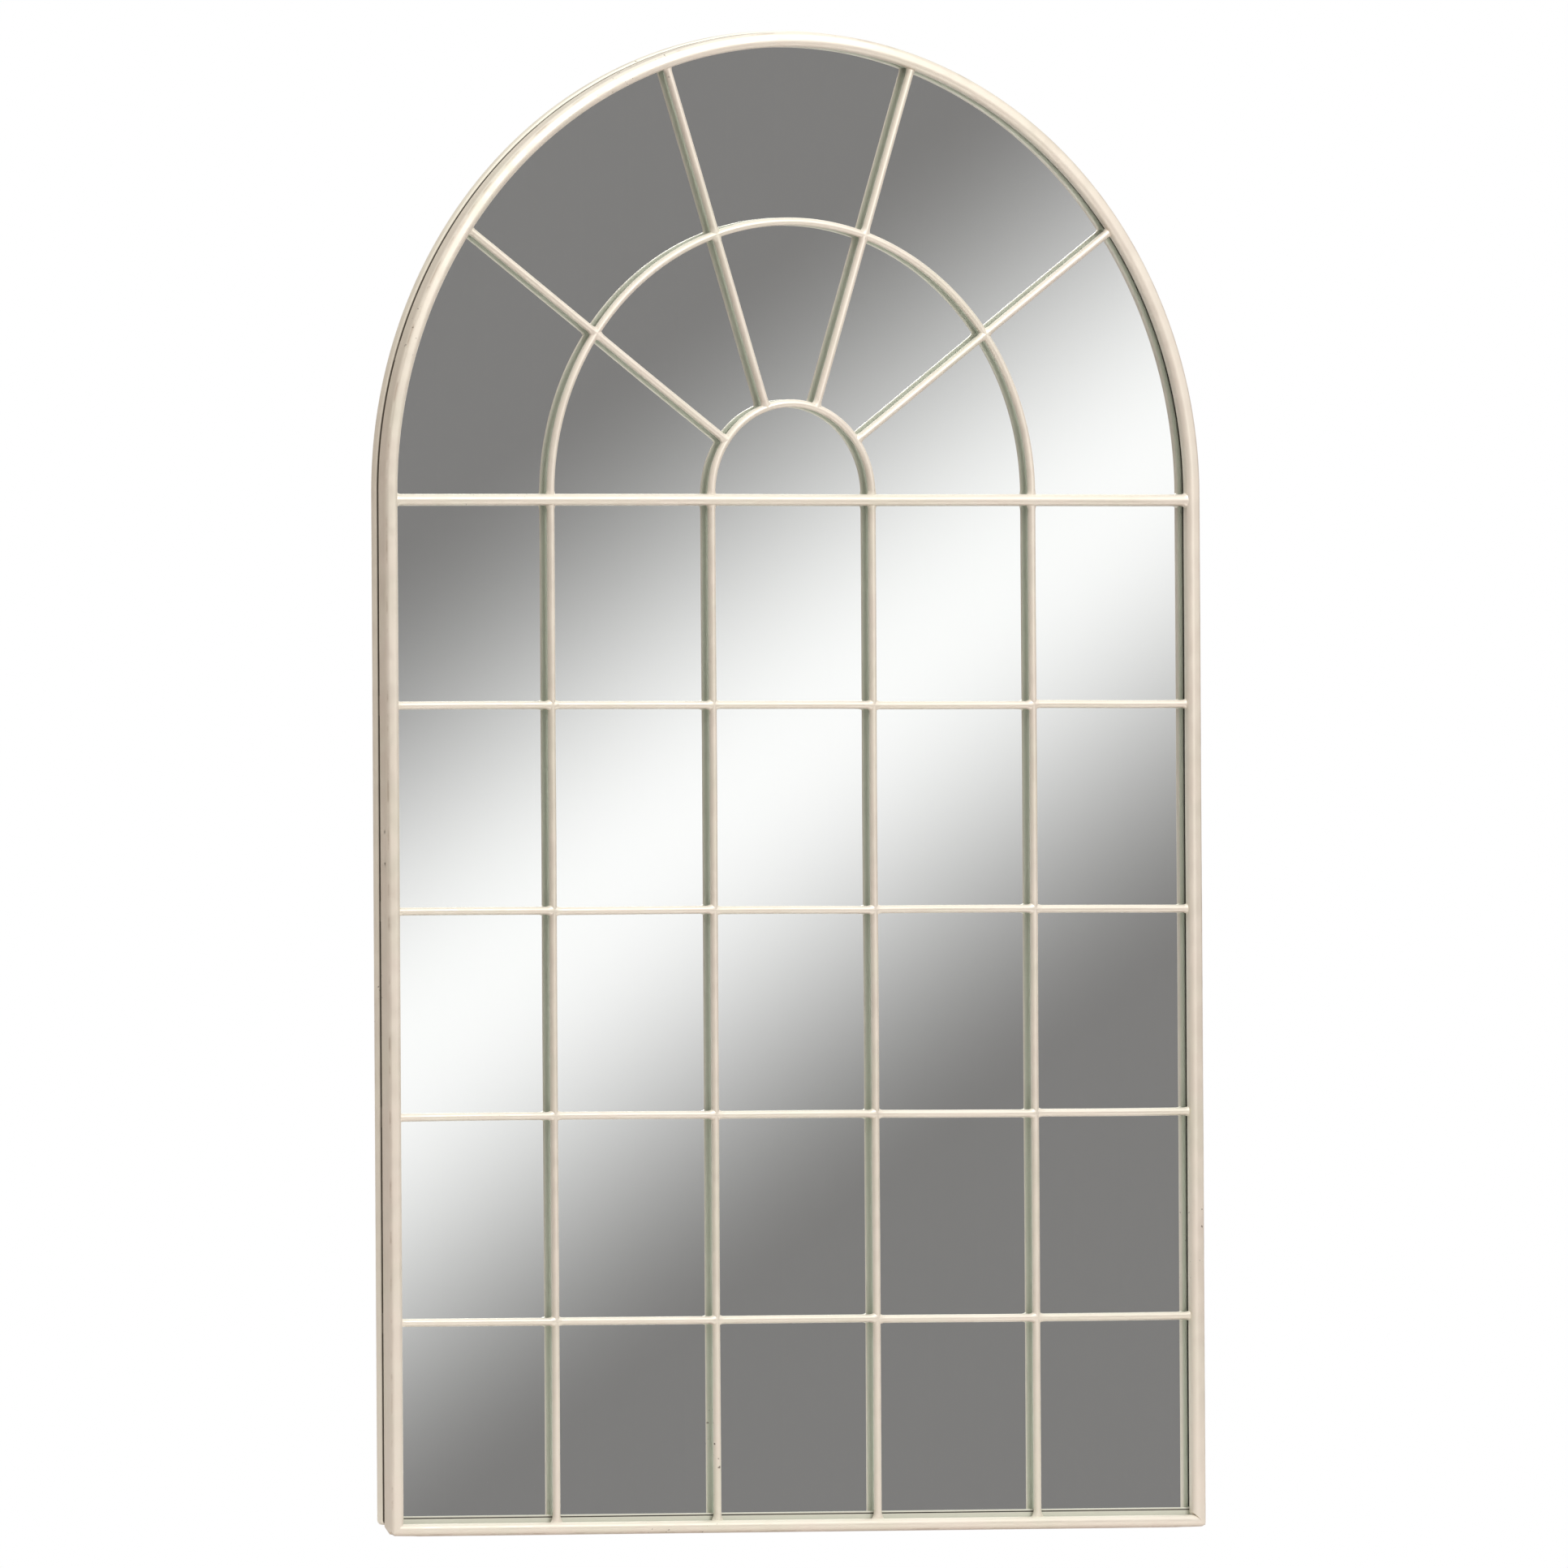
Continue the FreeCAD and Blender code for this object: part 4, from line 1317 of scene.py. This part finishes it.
@dataclass
class ArchedRing:
    """Ring between two arched outlines, with rounded edges, that stands for a node."""

    node: str
    springing: float
    width: float
    corner: float
    inner_corner: float
    edge: float
    inner_edge: float
    sill_steps: int = 40
    corner_steps: int = 9
    side_steps: int = 60
    edge_steps: int = 6

    def outline(self, half: float, sill: float, corner: float) -> list[Vector]:
        """Points of an arched outline, as many for any size.

        Args:
            half: Half its width.
            sill: Height of its lower edge.
            corner: Radius of its lower corners.

        Returns:
            The points, anticlockwise seen from the front, with no depth.
        """
        points: list[Vector] = []
        inset, foot, spring = half - corner, sill + corner, self.springing

        def line(x: float, z: float, to_x: float, to_z: float, count: int) -> None:
            """Add the points of a line, without its end."""
            start, end = Vector((x, 0, z)), Vector((to_x, 0, to_z))
            points.extend(start.lerp(end, i / count) for i in range(count))

        def bend(x: float, z: float, radius: float, start: float, turn: float, count: int) -> None:
            """Add the points of a bend about a centre, without its end."""
            for i in range(count):
                angle = math.radians(start + turn * i / count)
                points.append(Vector((x + radius * math.cos(angle), 0, z + radius * math.sin(angle))))

        line(-inset, sill, inset, sill, self.sill_steps)
        bend(inset, foot, corner, -90, 90, self.corner_steps)
        line(half, foot, half, spring, self.side_steps)
        bend(0.0, spring, half, 0, 180, HOOP_STEPS)
        line(-half, spring, -half, foot, self.side_steps)
        bend(-inset, foot, corner, 180, 90, self.corner_steps)
        return points

    def section(self, front: float, back: float) -> list[tuple[float, float]]:
        """Share of the way inwards and depth of each point of the ring's section.

        Args:
            front: Depth of its front.
            back: Depth of its back.

        Returns:
            The points.
        """
        edge, inner = self.edge, self.inner_edge
        corners = (
            (edge, back - edge, edge, 90), (edge, front + edge, edge, 180),
            (self.width - inner, front + inner, inner, 270), (self.width - inner, back - inner, inner, 0),
        )
        points = []
        for across, depth, radius, start in corners:
            for i in range(self.edge_steps + 1):
                angle = math.radians(start + 90 * i / self.edge_steps)
                inwards = across + radius * math.cos(angle)
                points.append((inwards / self.width, depth + radius * math.sin(angle)))
        return points

    def build(self, material: bpy.types.Material, slot: Slot) -> None:
        """Skin the ring and hand it over.

        Args:
            material: Its material.
            slot: Its material slot; not used.
        """
        low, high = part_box(self.node)
        outside = self.outline(high.x, low.z, self.corner)
        inside = self.outline(high.x - self.width, low.z + self.width, self.inner_corner)
        rings = []
        for share, depth in self.section(low.y, high.y):
            flat = [out.lerp(inn, share) for out, inn in zip(outside, inside)]
            rings.append([Vector((point.x, depth, point.z)) for point in flat])
        name = f"{self.node}_finished"
        hand_over(add_object(name, surface_mesh(name, rings, material)), [self.node])


@dataclass
class Surround:
    """Rear rim behind the shadow gap, the glazing strip in front of the glass, and the small blocks."""

    layout: Layout
    finishes: Finishes
    rim_width: float = 8.0 * MM
    rim_corner: float = 6.0 * MM
    rim_inner_corner: float = 0.8 * MM
    rim_edge: float = 2.5 * MM
    rim_inner_edge: float = 0.4 * MM
    strip_width: float = 10.0 * MM
    strip_corner: float = 1.0 * MM
    strip_edge: float = 0.5 * MM
    strip_inner_edge: float = 0.8 * MM

    def build(self) -> None:
        """Make the two rings and dress the nodes that stay."""
        rim = ArchedRing("rear_rim", self.layout.springing, self.rim_width, self.rim_corner,
                         self.rim_inner_corner, self.rim_edge, self.rim_inner_edge)
        rim.build(self.finishes.ivory, Slot.IVORY)
        strip = ArchedRing("glazing_seal", self.layout.springing, self.strip_width, self.strip_corner,
                           self.strip_corner, self.strip_edge, self.strip_inner_edge)
        strip.build(self.finishes.rubber, Slot.RUBBER)
        dress(self.finishes.glass, "mirror_glass")
        dress(self.finishes.ivory, "glass_ledge", "rim_spacers")


@dataclass
class Backing:
    """Board behind the glass, with its lugs and pan-head screws."""

    layout: Layout
    finishes: Finishes
    screw_inset: float = 7.0 * MM
    head_radius: float = 3.0 * MM
    head_height: float = 2.0 * MM
    head_side: float = 0.45
    dome: tuple[float, ...] = (0.97, 0.9, 0.8, 0.68, 0.55, 0.42, 0.3, 0.18, 0.06)
    shank_radius: float = 1.5 * MM
    tip_radius: float = 0.25 * MM
    tip_length: float = 1.0 * MM
    recess: float = 0.9 * MM
    recess_width: float = 0.36 * MM
    recess_reach: float = 0.62
    sides: int = 32
    seed: int = 5
    lug_rows: tuple[float, ...] = (0.5, 2.0, 3.5)
    lug_angles: tuple[float, ...] = (30, 60, 90, 120, 150)

    def build(self) -> None:
        """Dress the board and its lugs, and drive the screws."""
        dress(self.finishes.board, "backing_board")
        dress(self.finishes.ivory, "board_lugs")
        low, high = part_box("board_screws")
        drive("board_screws", self.places(), self.screw(low.y, high.y), self.seed, self.finishes.zinc)

    def places(self) -> list[Vector]:
        """Where the screws are, on the wall plane."""
        lay = self.layout
        low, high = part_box("rear_rim")
        inner = high.x - Surround.rim_width - self.screw_inset
        floor = low.z + Surround.rim_width + self.screw_inset
        pitch = (lay.transom_z - lay.rail_z) / ROWS
        places = [Vector((side.value * inner, 0, lay.rail_z + row * pitch)) for side in Side
                  for row in self.lug_rows]
        places += [lay.around(inner, angle, 0) for angle in self.lug_angles]
        return places + [Vector((side.value * lay.half * 2 / COLUMNS, 0, floor)) for side in Side]

    def screw(self, tip: float, top: float) -> bmesh.types.BMesh:
        """Turn a screw with a cross recess, along Y.

        Args:
            tip: Depth of its tip.
            top: Depth of the top of its head.

        Returns:
            The screw's mesh.
        """
        head, height, seat = self.head_radius, self.head_height, top - self.head_height
        profile = [(self.tip_radius, tip), (self.shank_radius, tip + self.tip_length),
                   (self.shank_radius, seat), (head, seat), (head, seat + self.head_side * height)]
        for share in self.dome:
            rise = self.head_side + (1 - self.head_side) * math.sqrt(1 - share * share)
            profile.append((head * share, seat + height * min(rise, 1.0)))
        work = lathe(profile, self.sides)
        for vert in work.verts:
            x, y, z = vert.co
            reach = math.hypot(x, z)
            in_cross = min(abs(x), abs(z)) < self.recess_width and reach < self.recess_reach * head
            if in_cross and y > seat + 0.5 * height:
                vert.co.y = top - self.recess
        return work


@dataclass
class Hangers:
    """Tabs, straps, domed rivets and rings on the back."""

    finishes: Finishes
    ring_corner: float = 3.5 * MM
    ring_step: float = 0.8 * MM
    ring_sides: int = 20
    corner_steps: int = 12
    bow_steps: int = 48
    too_close: float = 0.01 * MM
    rivet_head: float = 3.5 * MM
    rivet_height: float = 1.6 * MM
    rivet_shank: float = 2.0 * MM
    rivet_sides: int = 28
    seed: int = 2

    def build(self) -> None:
        """Dress tabs and straps, bend the rings and set the rivets."""
        recipe = RoundBar()
        places = []
        low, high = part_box("hanger_rivets")
        for side in Side:
            strap = f"{side.label}_hanger_strap"
            dress(self.finishes.ivory, f"{side.label}_hanger_tab")
            dress(self.finishes.zinc, strap)
            self.ring(recipe, side)
            for z in (low.z + self.rivet_head, high.z - self.rivet_head):
                places.append(Vector((middle(strap, "x"), 0, z)))
        drive("hanger_rivets", places, self.rivet(low.y, high.y), self.seed, self.finishes.zinc)

    def ring(self, recipe: RoundBar, side: Side) -> None:
        """Bend one ring of wire.

        Args:
            recipe: Recipe of the round wire.
            side: Side that it hangs on.
        """
        node = f"{side.label}_hanger_ring"
        wire = half_size(node, "y")
        x, y = middle(node, "x"), middle(node, "y")
        bow = half_size(node, "x") - wire
        corner = self.ring_corner
        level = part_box(node)[1].z - wire - corner
        flat = bow - corner
        bends = ((flat, corner, 90, 0, self.corner_steps), (0.0, bow, 0, -180, self.bow_steps),
                 (-flat, corner, 180, 90, self.corner_steps))
        points = []
        for across, radius, start, end, count in bends:
            for i in range(count + 1):
                angle = math.radians(start + (end - start) * i / count)
                points.append(Vector((x + across + radius * math.cos(angle), y,
                                      level + radius * math.sin(angle))))
        clean = [point for i, point in enumerate(points) if (point - points[i - 1]).length > self.too_close]
        body = Body.LEFT_RING if side is Side.LEFT else Body.RIGHT_RING
        recipe.stand_for(node, clean, Slot.ZINC, {
            "Radius": wire, "Step": self.ring_step, "Sides": self.ring_sides, "Sway": 0.0, "Seed": 0.0,
            "Material": self.finishes.zinc}, body, closed=True)

    def rivet(self, back: float, top: float) -> bmesh.types.BMesh:
        """Turn a domed rivet along Y.

        Args:
            back: Depth of the shank's end.
            top: Depth of the top of its head.

        Returns:
            The rivet's mesh.
        """
        seat = top - self.rivet_height
        profile = [(self.rivet_shank, back), (self.rivet_shank, seat), (self.rivet_head, seat)]
        for degrees in range(10, 90, 10):
            angle = math.radians(degrees)
            profile.append((self.rivet_head * math.cos(angle), seat + self.rivet_height * math.sin(angle)))
        return lathe(profile, self.rivet_sides)


# Studio


@dataclass(frozen=True)
class Studio:
    """Camera, light, pale floor and the soft card that the glass reflects."""

    azimuth: float = -28.15
    elevation: float = -0.337
    roll: float = -0.344
    distance: float = 52.24
    lens: float = 1000.0
    sensor: float = 36.0
    clip: tuple[float, float] = (0.5, 400.0)
    target: tuple[float, float, float] = (0.0011, -0.0006, 0.8787)
    card_radius: float = 1.9
    card_low: float = -1.0
    card_high: float = 1.98
    card_sweep: float = 88.0
    card_steps: int = 96
    card_axis: tuple[float, float] = (-0.016, 0.894)
    band_slope: float = 37.0
    band_shift: float = 0.0271
    band_half: float = 0.5059
    band_period: float = 1.35
    band_power: float = 0.82
    band_base: float = 0.504
    band_rise: float = 0.488
    display_power: float = 2.2
    glass_share: float = 0.935
    card_skin: Color = (0.15, 0.15, 0.15, 1)
    card_lit: float = 0.59
    room: Color = (1.0, 0.860, 0.780, 1)
    ground: Color = (1.0, 0.710, 0.670, 1)
    ceiling: Color = (0.98, 1.0, 1.0, 1)
    room_power: float = 0.44
    right_power: float = 0.20
    ground_power: float = 0.24
    ceiling_power: float = 0.95
    front_power: float = 0.42
    key_place: tuple[float, float, float] = (1.05, -3.3, 3.0)
    key_aim: tuple[float, float, float] = (0, 0, 1.1)
    key_size: tuple[float, float] = (1.2, 1.8)
    key_power: float = 72.0
    key_color: tuple[float, float, float] = (0.97, 0.99, 1.0)
    floor_reach: float = 6.0
    floor_pale: Color = (0.90, 0.90, 0.90, 1)
    floor_paler: Color = (0.94, 0.94, 0.93, 1)
    floor_glow: float = 0.55

    def build(self) -> None:
        """Set up the studio."""
        scene = bpy.context.scene
        scene.view_settings.view_transform = "Standard"
        scene.view_settings.look = "None"
        self.camera()
        self.world()
        self.floor()
        self.card()
        self.key()

    def camera(self) -> None:
        """Stand the camera far off with a long lens."""
        azimuth, elevation, roll = (math.radians(a) for a in (self.azimuth, self.elevation, self.roll))
        back = Vector((math.sin(azimuth) * math.cos(elevation), -math.cos(azimuth) * math.cos(elevation),
                       math.sin(elevation)))
        right = Vector((math.cos(azimuth), math.sin(azimuth), 0))
        up = back.cross(right)
        rolled_right = right * math.cos(roll) + up * math.sin(roll)
        rolled_up = up * math.cos(roll) - right * math.sin(roll)
        data = bpy.data.cameras.new("camera")
        data.lens = self.lens
        data.sensor_width = self.sensor
        data.clip_start, data.clip_end = self.clip
        obj = bpy.data.objects.new("camera", data)
        bpy.context.scene.collection.objects.link(obj)
        turn = Matrix((rolled_right, rolled_up, back)).transposed().to_4x4()
        obj.matrix_world = Matrix.Translation(Vector(self.target) + back * self.distance) @ turn
        bpy.context.scene.camera = obj

    def world(self) -> None:
        """White surroundings for the camera; for the object soft light, stronger from above and ahead."""
        world = bpy.data.worlds.new("studio")
        world.use_nodes = True
        world.node_tree.nodes.clear()
        write = NodeWriter(world.node_tree)
        seen = write.add("ShaderNodeBackground", {"Color": WHITE, "Strength": 1.0}).outputs[0]
        aside, away, height = write.split(write.add("ShaderNodeTexCoord").outputs["Generated"])
        overhead = write.ramp(height, 0.25, 0.95)
        wall = write.ramp(aside, -0.1, 0.8, self.room_power, self.right_power)
        below = write.ramp(height, 0.0, -0.5)
        side = write.math("MULTIPLY_ADD", below, write.math("SUBTRACT", self.ground_power, wall), wall)
        power = write.math("MULTIPLY_ADD", overhead, self.ceiling_power, side)
        power = write.math("ADD", power, write.ramp(away, -0.3, -0.95, 0.0, self.front_power))
        color = write.blend(overhead, write.blend(below, self.room, self.ground), self.ceiling)
        soft = write.add("ShaderNodeBackground", {"Color": color, "Strength": power}).outputs[0]
        write.add("ShaderNodeOutputWorld", {"Surface": write.mix_for_camera(soft, seen)})
        bpy.context.scene.world = world

    def floor(self) -> None:
        """Lay a pale floor under the rail, which the camera sees as plain white."""
        level, reach = CAD_BOX[0][2], self.floor_reach
        corners = [(x * reach, y * reach, level) for x, y in ((-1, -1), (1, -1), (1, 1), (-1, 1))]
        mesh = bpy.data.meshes.new("floor")
        mesh.from_pydata(corners, [], [(0, 1, 2, 3)])
        finish = Finish("pale_floor")
        write = finish.write
        tone = write.blend(write.noise(write.here(), 3.0).outputs["Fac"], self.floor_pale, self.floor_paler)
        finish.set(Base_Color=tone, Roughness=0.9, Emission_Color=WHITE, Emission_Strength=self.floor_glow)
        white = write.add("ShaderNodeEmission", {"Color": WHITE, "Strength": 1.0}).outputs[0]
        seen = write.mix_for_camera(finish.shader.outputs[0], white)
        write.feed(finish.output.inputs["Surface"], seen)
        finish.material.cycles.emission_sampling = "NONE"
        mesh.materials.append(finish.material)
        obj = add_object("floor", mesh)
        obj.visible_diffuse = False

    def card(self) -> None:
        """Stand a curved card before the glass, seen only in reflections, with one soft slanting band."""
        faces, places, spots = [], [], []
        centre = math.radians(-self.azimuth)
        radius = self.card_radius
        for i in range(self.card_steps + 1):
            angle = math.radians(self.card_sweep * (2 * i / self.card_steps - 1))
            for z in (self.card_low, self.card_high):
                places.append((radius * math.sin(angle), -radius * math.cos(angle), z))
                spots.append((radius * (angle - centre) - self.card_axis[0], z - self.card_axis[1]))
            if i:
                faces.append((2 * i - 2, 2 * i, 2 * i + 1, 2 * i - 1))
        mesh = bpy.data.meshes.new("reflection_card")
        mesh.from_pydata(places, [], faces)
        layer = mesh.uv_layers.new(name="metres")
        for loop in mesh.loops:
            layer.data[loop.index].uv = spots[loop.vertex_index]
        mesh.materials.append(self.card_material())
        obj = add_object("reflection_card", mesh)
        obj.visible_camera = False
        obj.visible_diffuse = False
        obj.visible_shadow = False
        obj.visible_transmission = False

    def card_material(self) -> bpy.types.Material:
        """Light of the card, grey and rising softly to white along a slanting band, over a dull skin."""
        material = bpy.data.materials.new("reflection_card")
        material.cycles.emission_sampling = "NONE"
        material.use_nodes = True
        material.node_tree.nodes.clear()
        write = NodeWriter(material.node_tree)
        across, upward, _ = write.split(write.add("ShaderNodeUVMap", uv_map="metres").outputs[0])
        slope = math.radians(self.band_slope)
        away = write.math("MULTIPLY_ADD", across, math.sin(slope), self.band_shift)
        away = write.math("MULTIPLY_ADD", upward, -math.cos(slope), away)
        away = write.math("PINGPONG", away, self.band_period)
        share = write.math("DIVIDE", away, self.band_half, clamp=True)
        wave = write.math("COSINE", write.math("MULTIPLY", share, math.pi))
        rise = write.math("POWER", write.math("MULTIPLY_ADD", wave, 0.5, 0.5), self.band_power)
        shade = write.math("MULTIPLY_ADD", rise, self.band_rise, self.band_base)
        light = write.math("DIVIDE", write.math("POWER", shade, self.display_power), self.glass_share)
        light = write.math("SUBTRACT", light, self.card_skin[0] * self.card_lit)
        glow = write.add("ShaderNodeEmission", {"Color": WHITE, "Strength": light}).outputs[0]
        skin = write.add("ShaderNodeBsdfDiffuse", {"Color": self.card_skin}).outputs[0]
        both = write.add("ShaderNodeAddShader", {0: glow, 1: skin}).outputs[0]
        write.add("ShaderNodeOutputMaterial", {"Surface": both})
        return material

    def key(self) -> None:
        """Hang a soft box of light, high enough to stay out of the glass."""
        data = bpy.data.lights.new("key", "AREA")
        data.shape = "RECTANGLE"
        data.size, data.size_y = self.key_size
        data.energy = self.key_power
        data.color = self.key_color
        data.cycles.use_multiple_importance_sampling = False
        obj = bpy.data.objects.new("key", data)
        bpy.context.scene.collection.objects.link(obj)
        obj.location = self.key_place
        way = Vector(self.key_aim) - Vector(self.key_place)
        obj.rotation_euler = way.to_track_quat("-Z", "Y").to_euler()


def main() -> None:
    """Build the studio, the finishes and every sub-assembly in order."""
    logging.basicConfig(level=logging.INFO, format="%(name)s: %(message)s")
    layout = Layout.read()
    effects = Effects(Drift(), Grain(), ArrisWear(), Chips())
    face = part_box("mirror_glass")[0].y
    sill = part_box("glazing_seal")[0].z + Surround.strip_width
    finishes = Finishes(IvoryPaint().build(effects, layout), SilveredGlass().build(effects, face),
                        GlazingRubber().build(effects, sill), Hardboard().build(effects),
                        ZincPlate().build(effects))
    Studio().build()
    OuterFrame(layout, finishes.ivory).build()
    Grille(layout, finishes.ivory).build()
    Skirt(layout, finishes.ivory).build()
    Surround(layout, finishes).build()
    Backing(layout, finishes).build()
    Hangers(finishes).build()


if __name__ == "__main__":
    main()
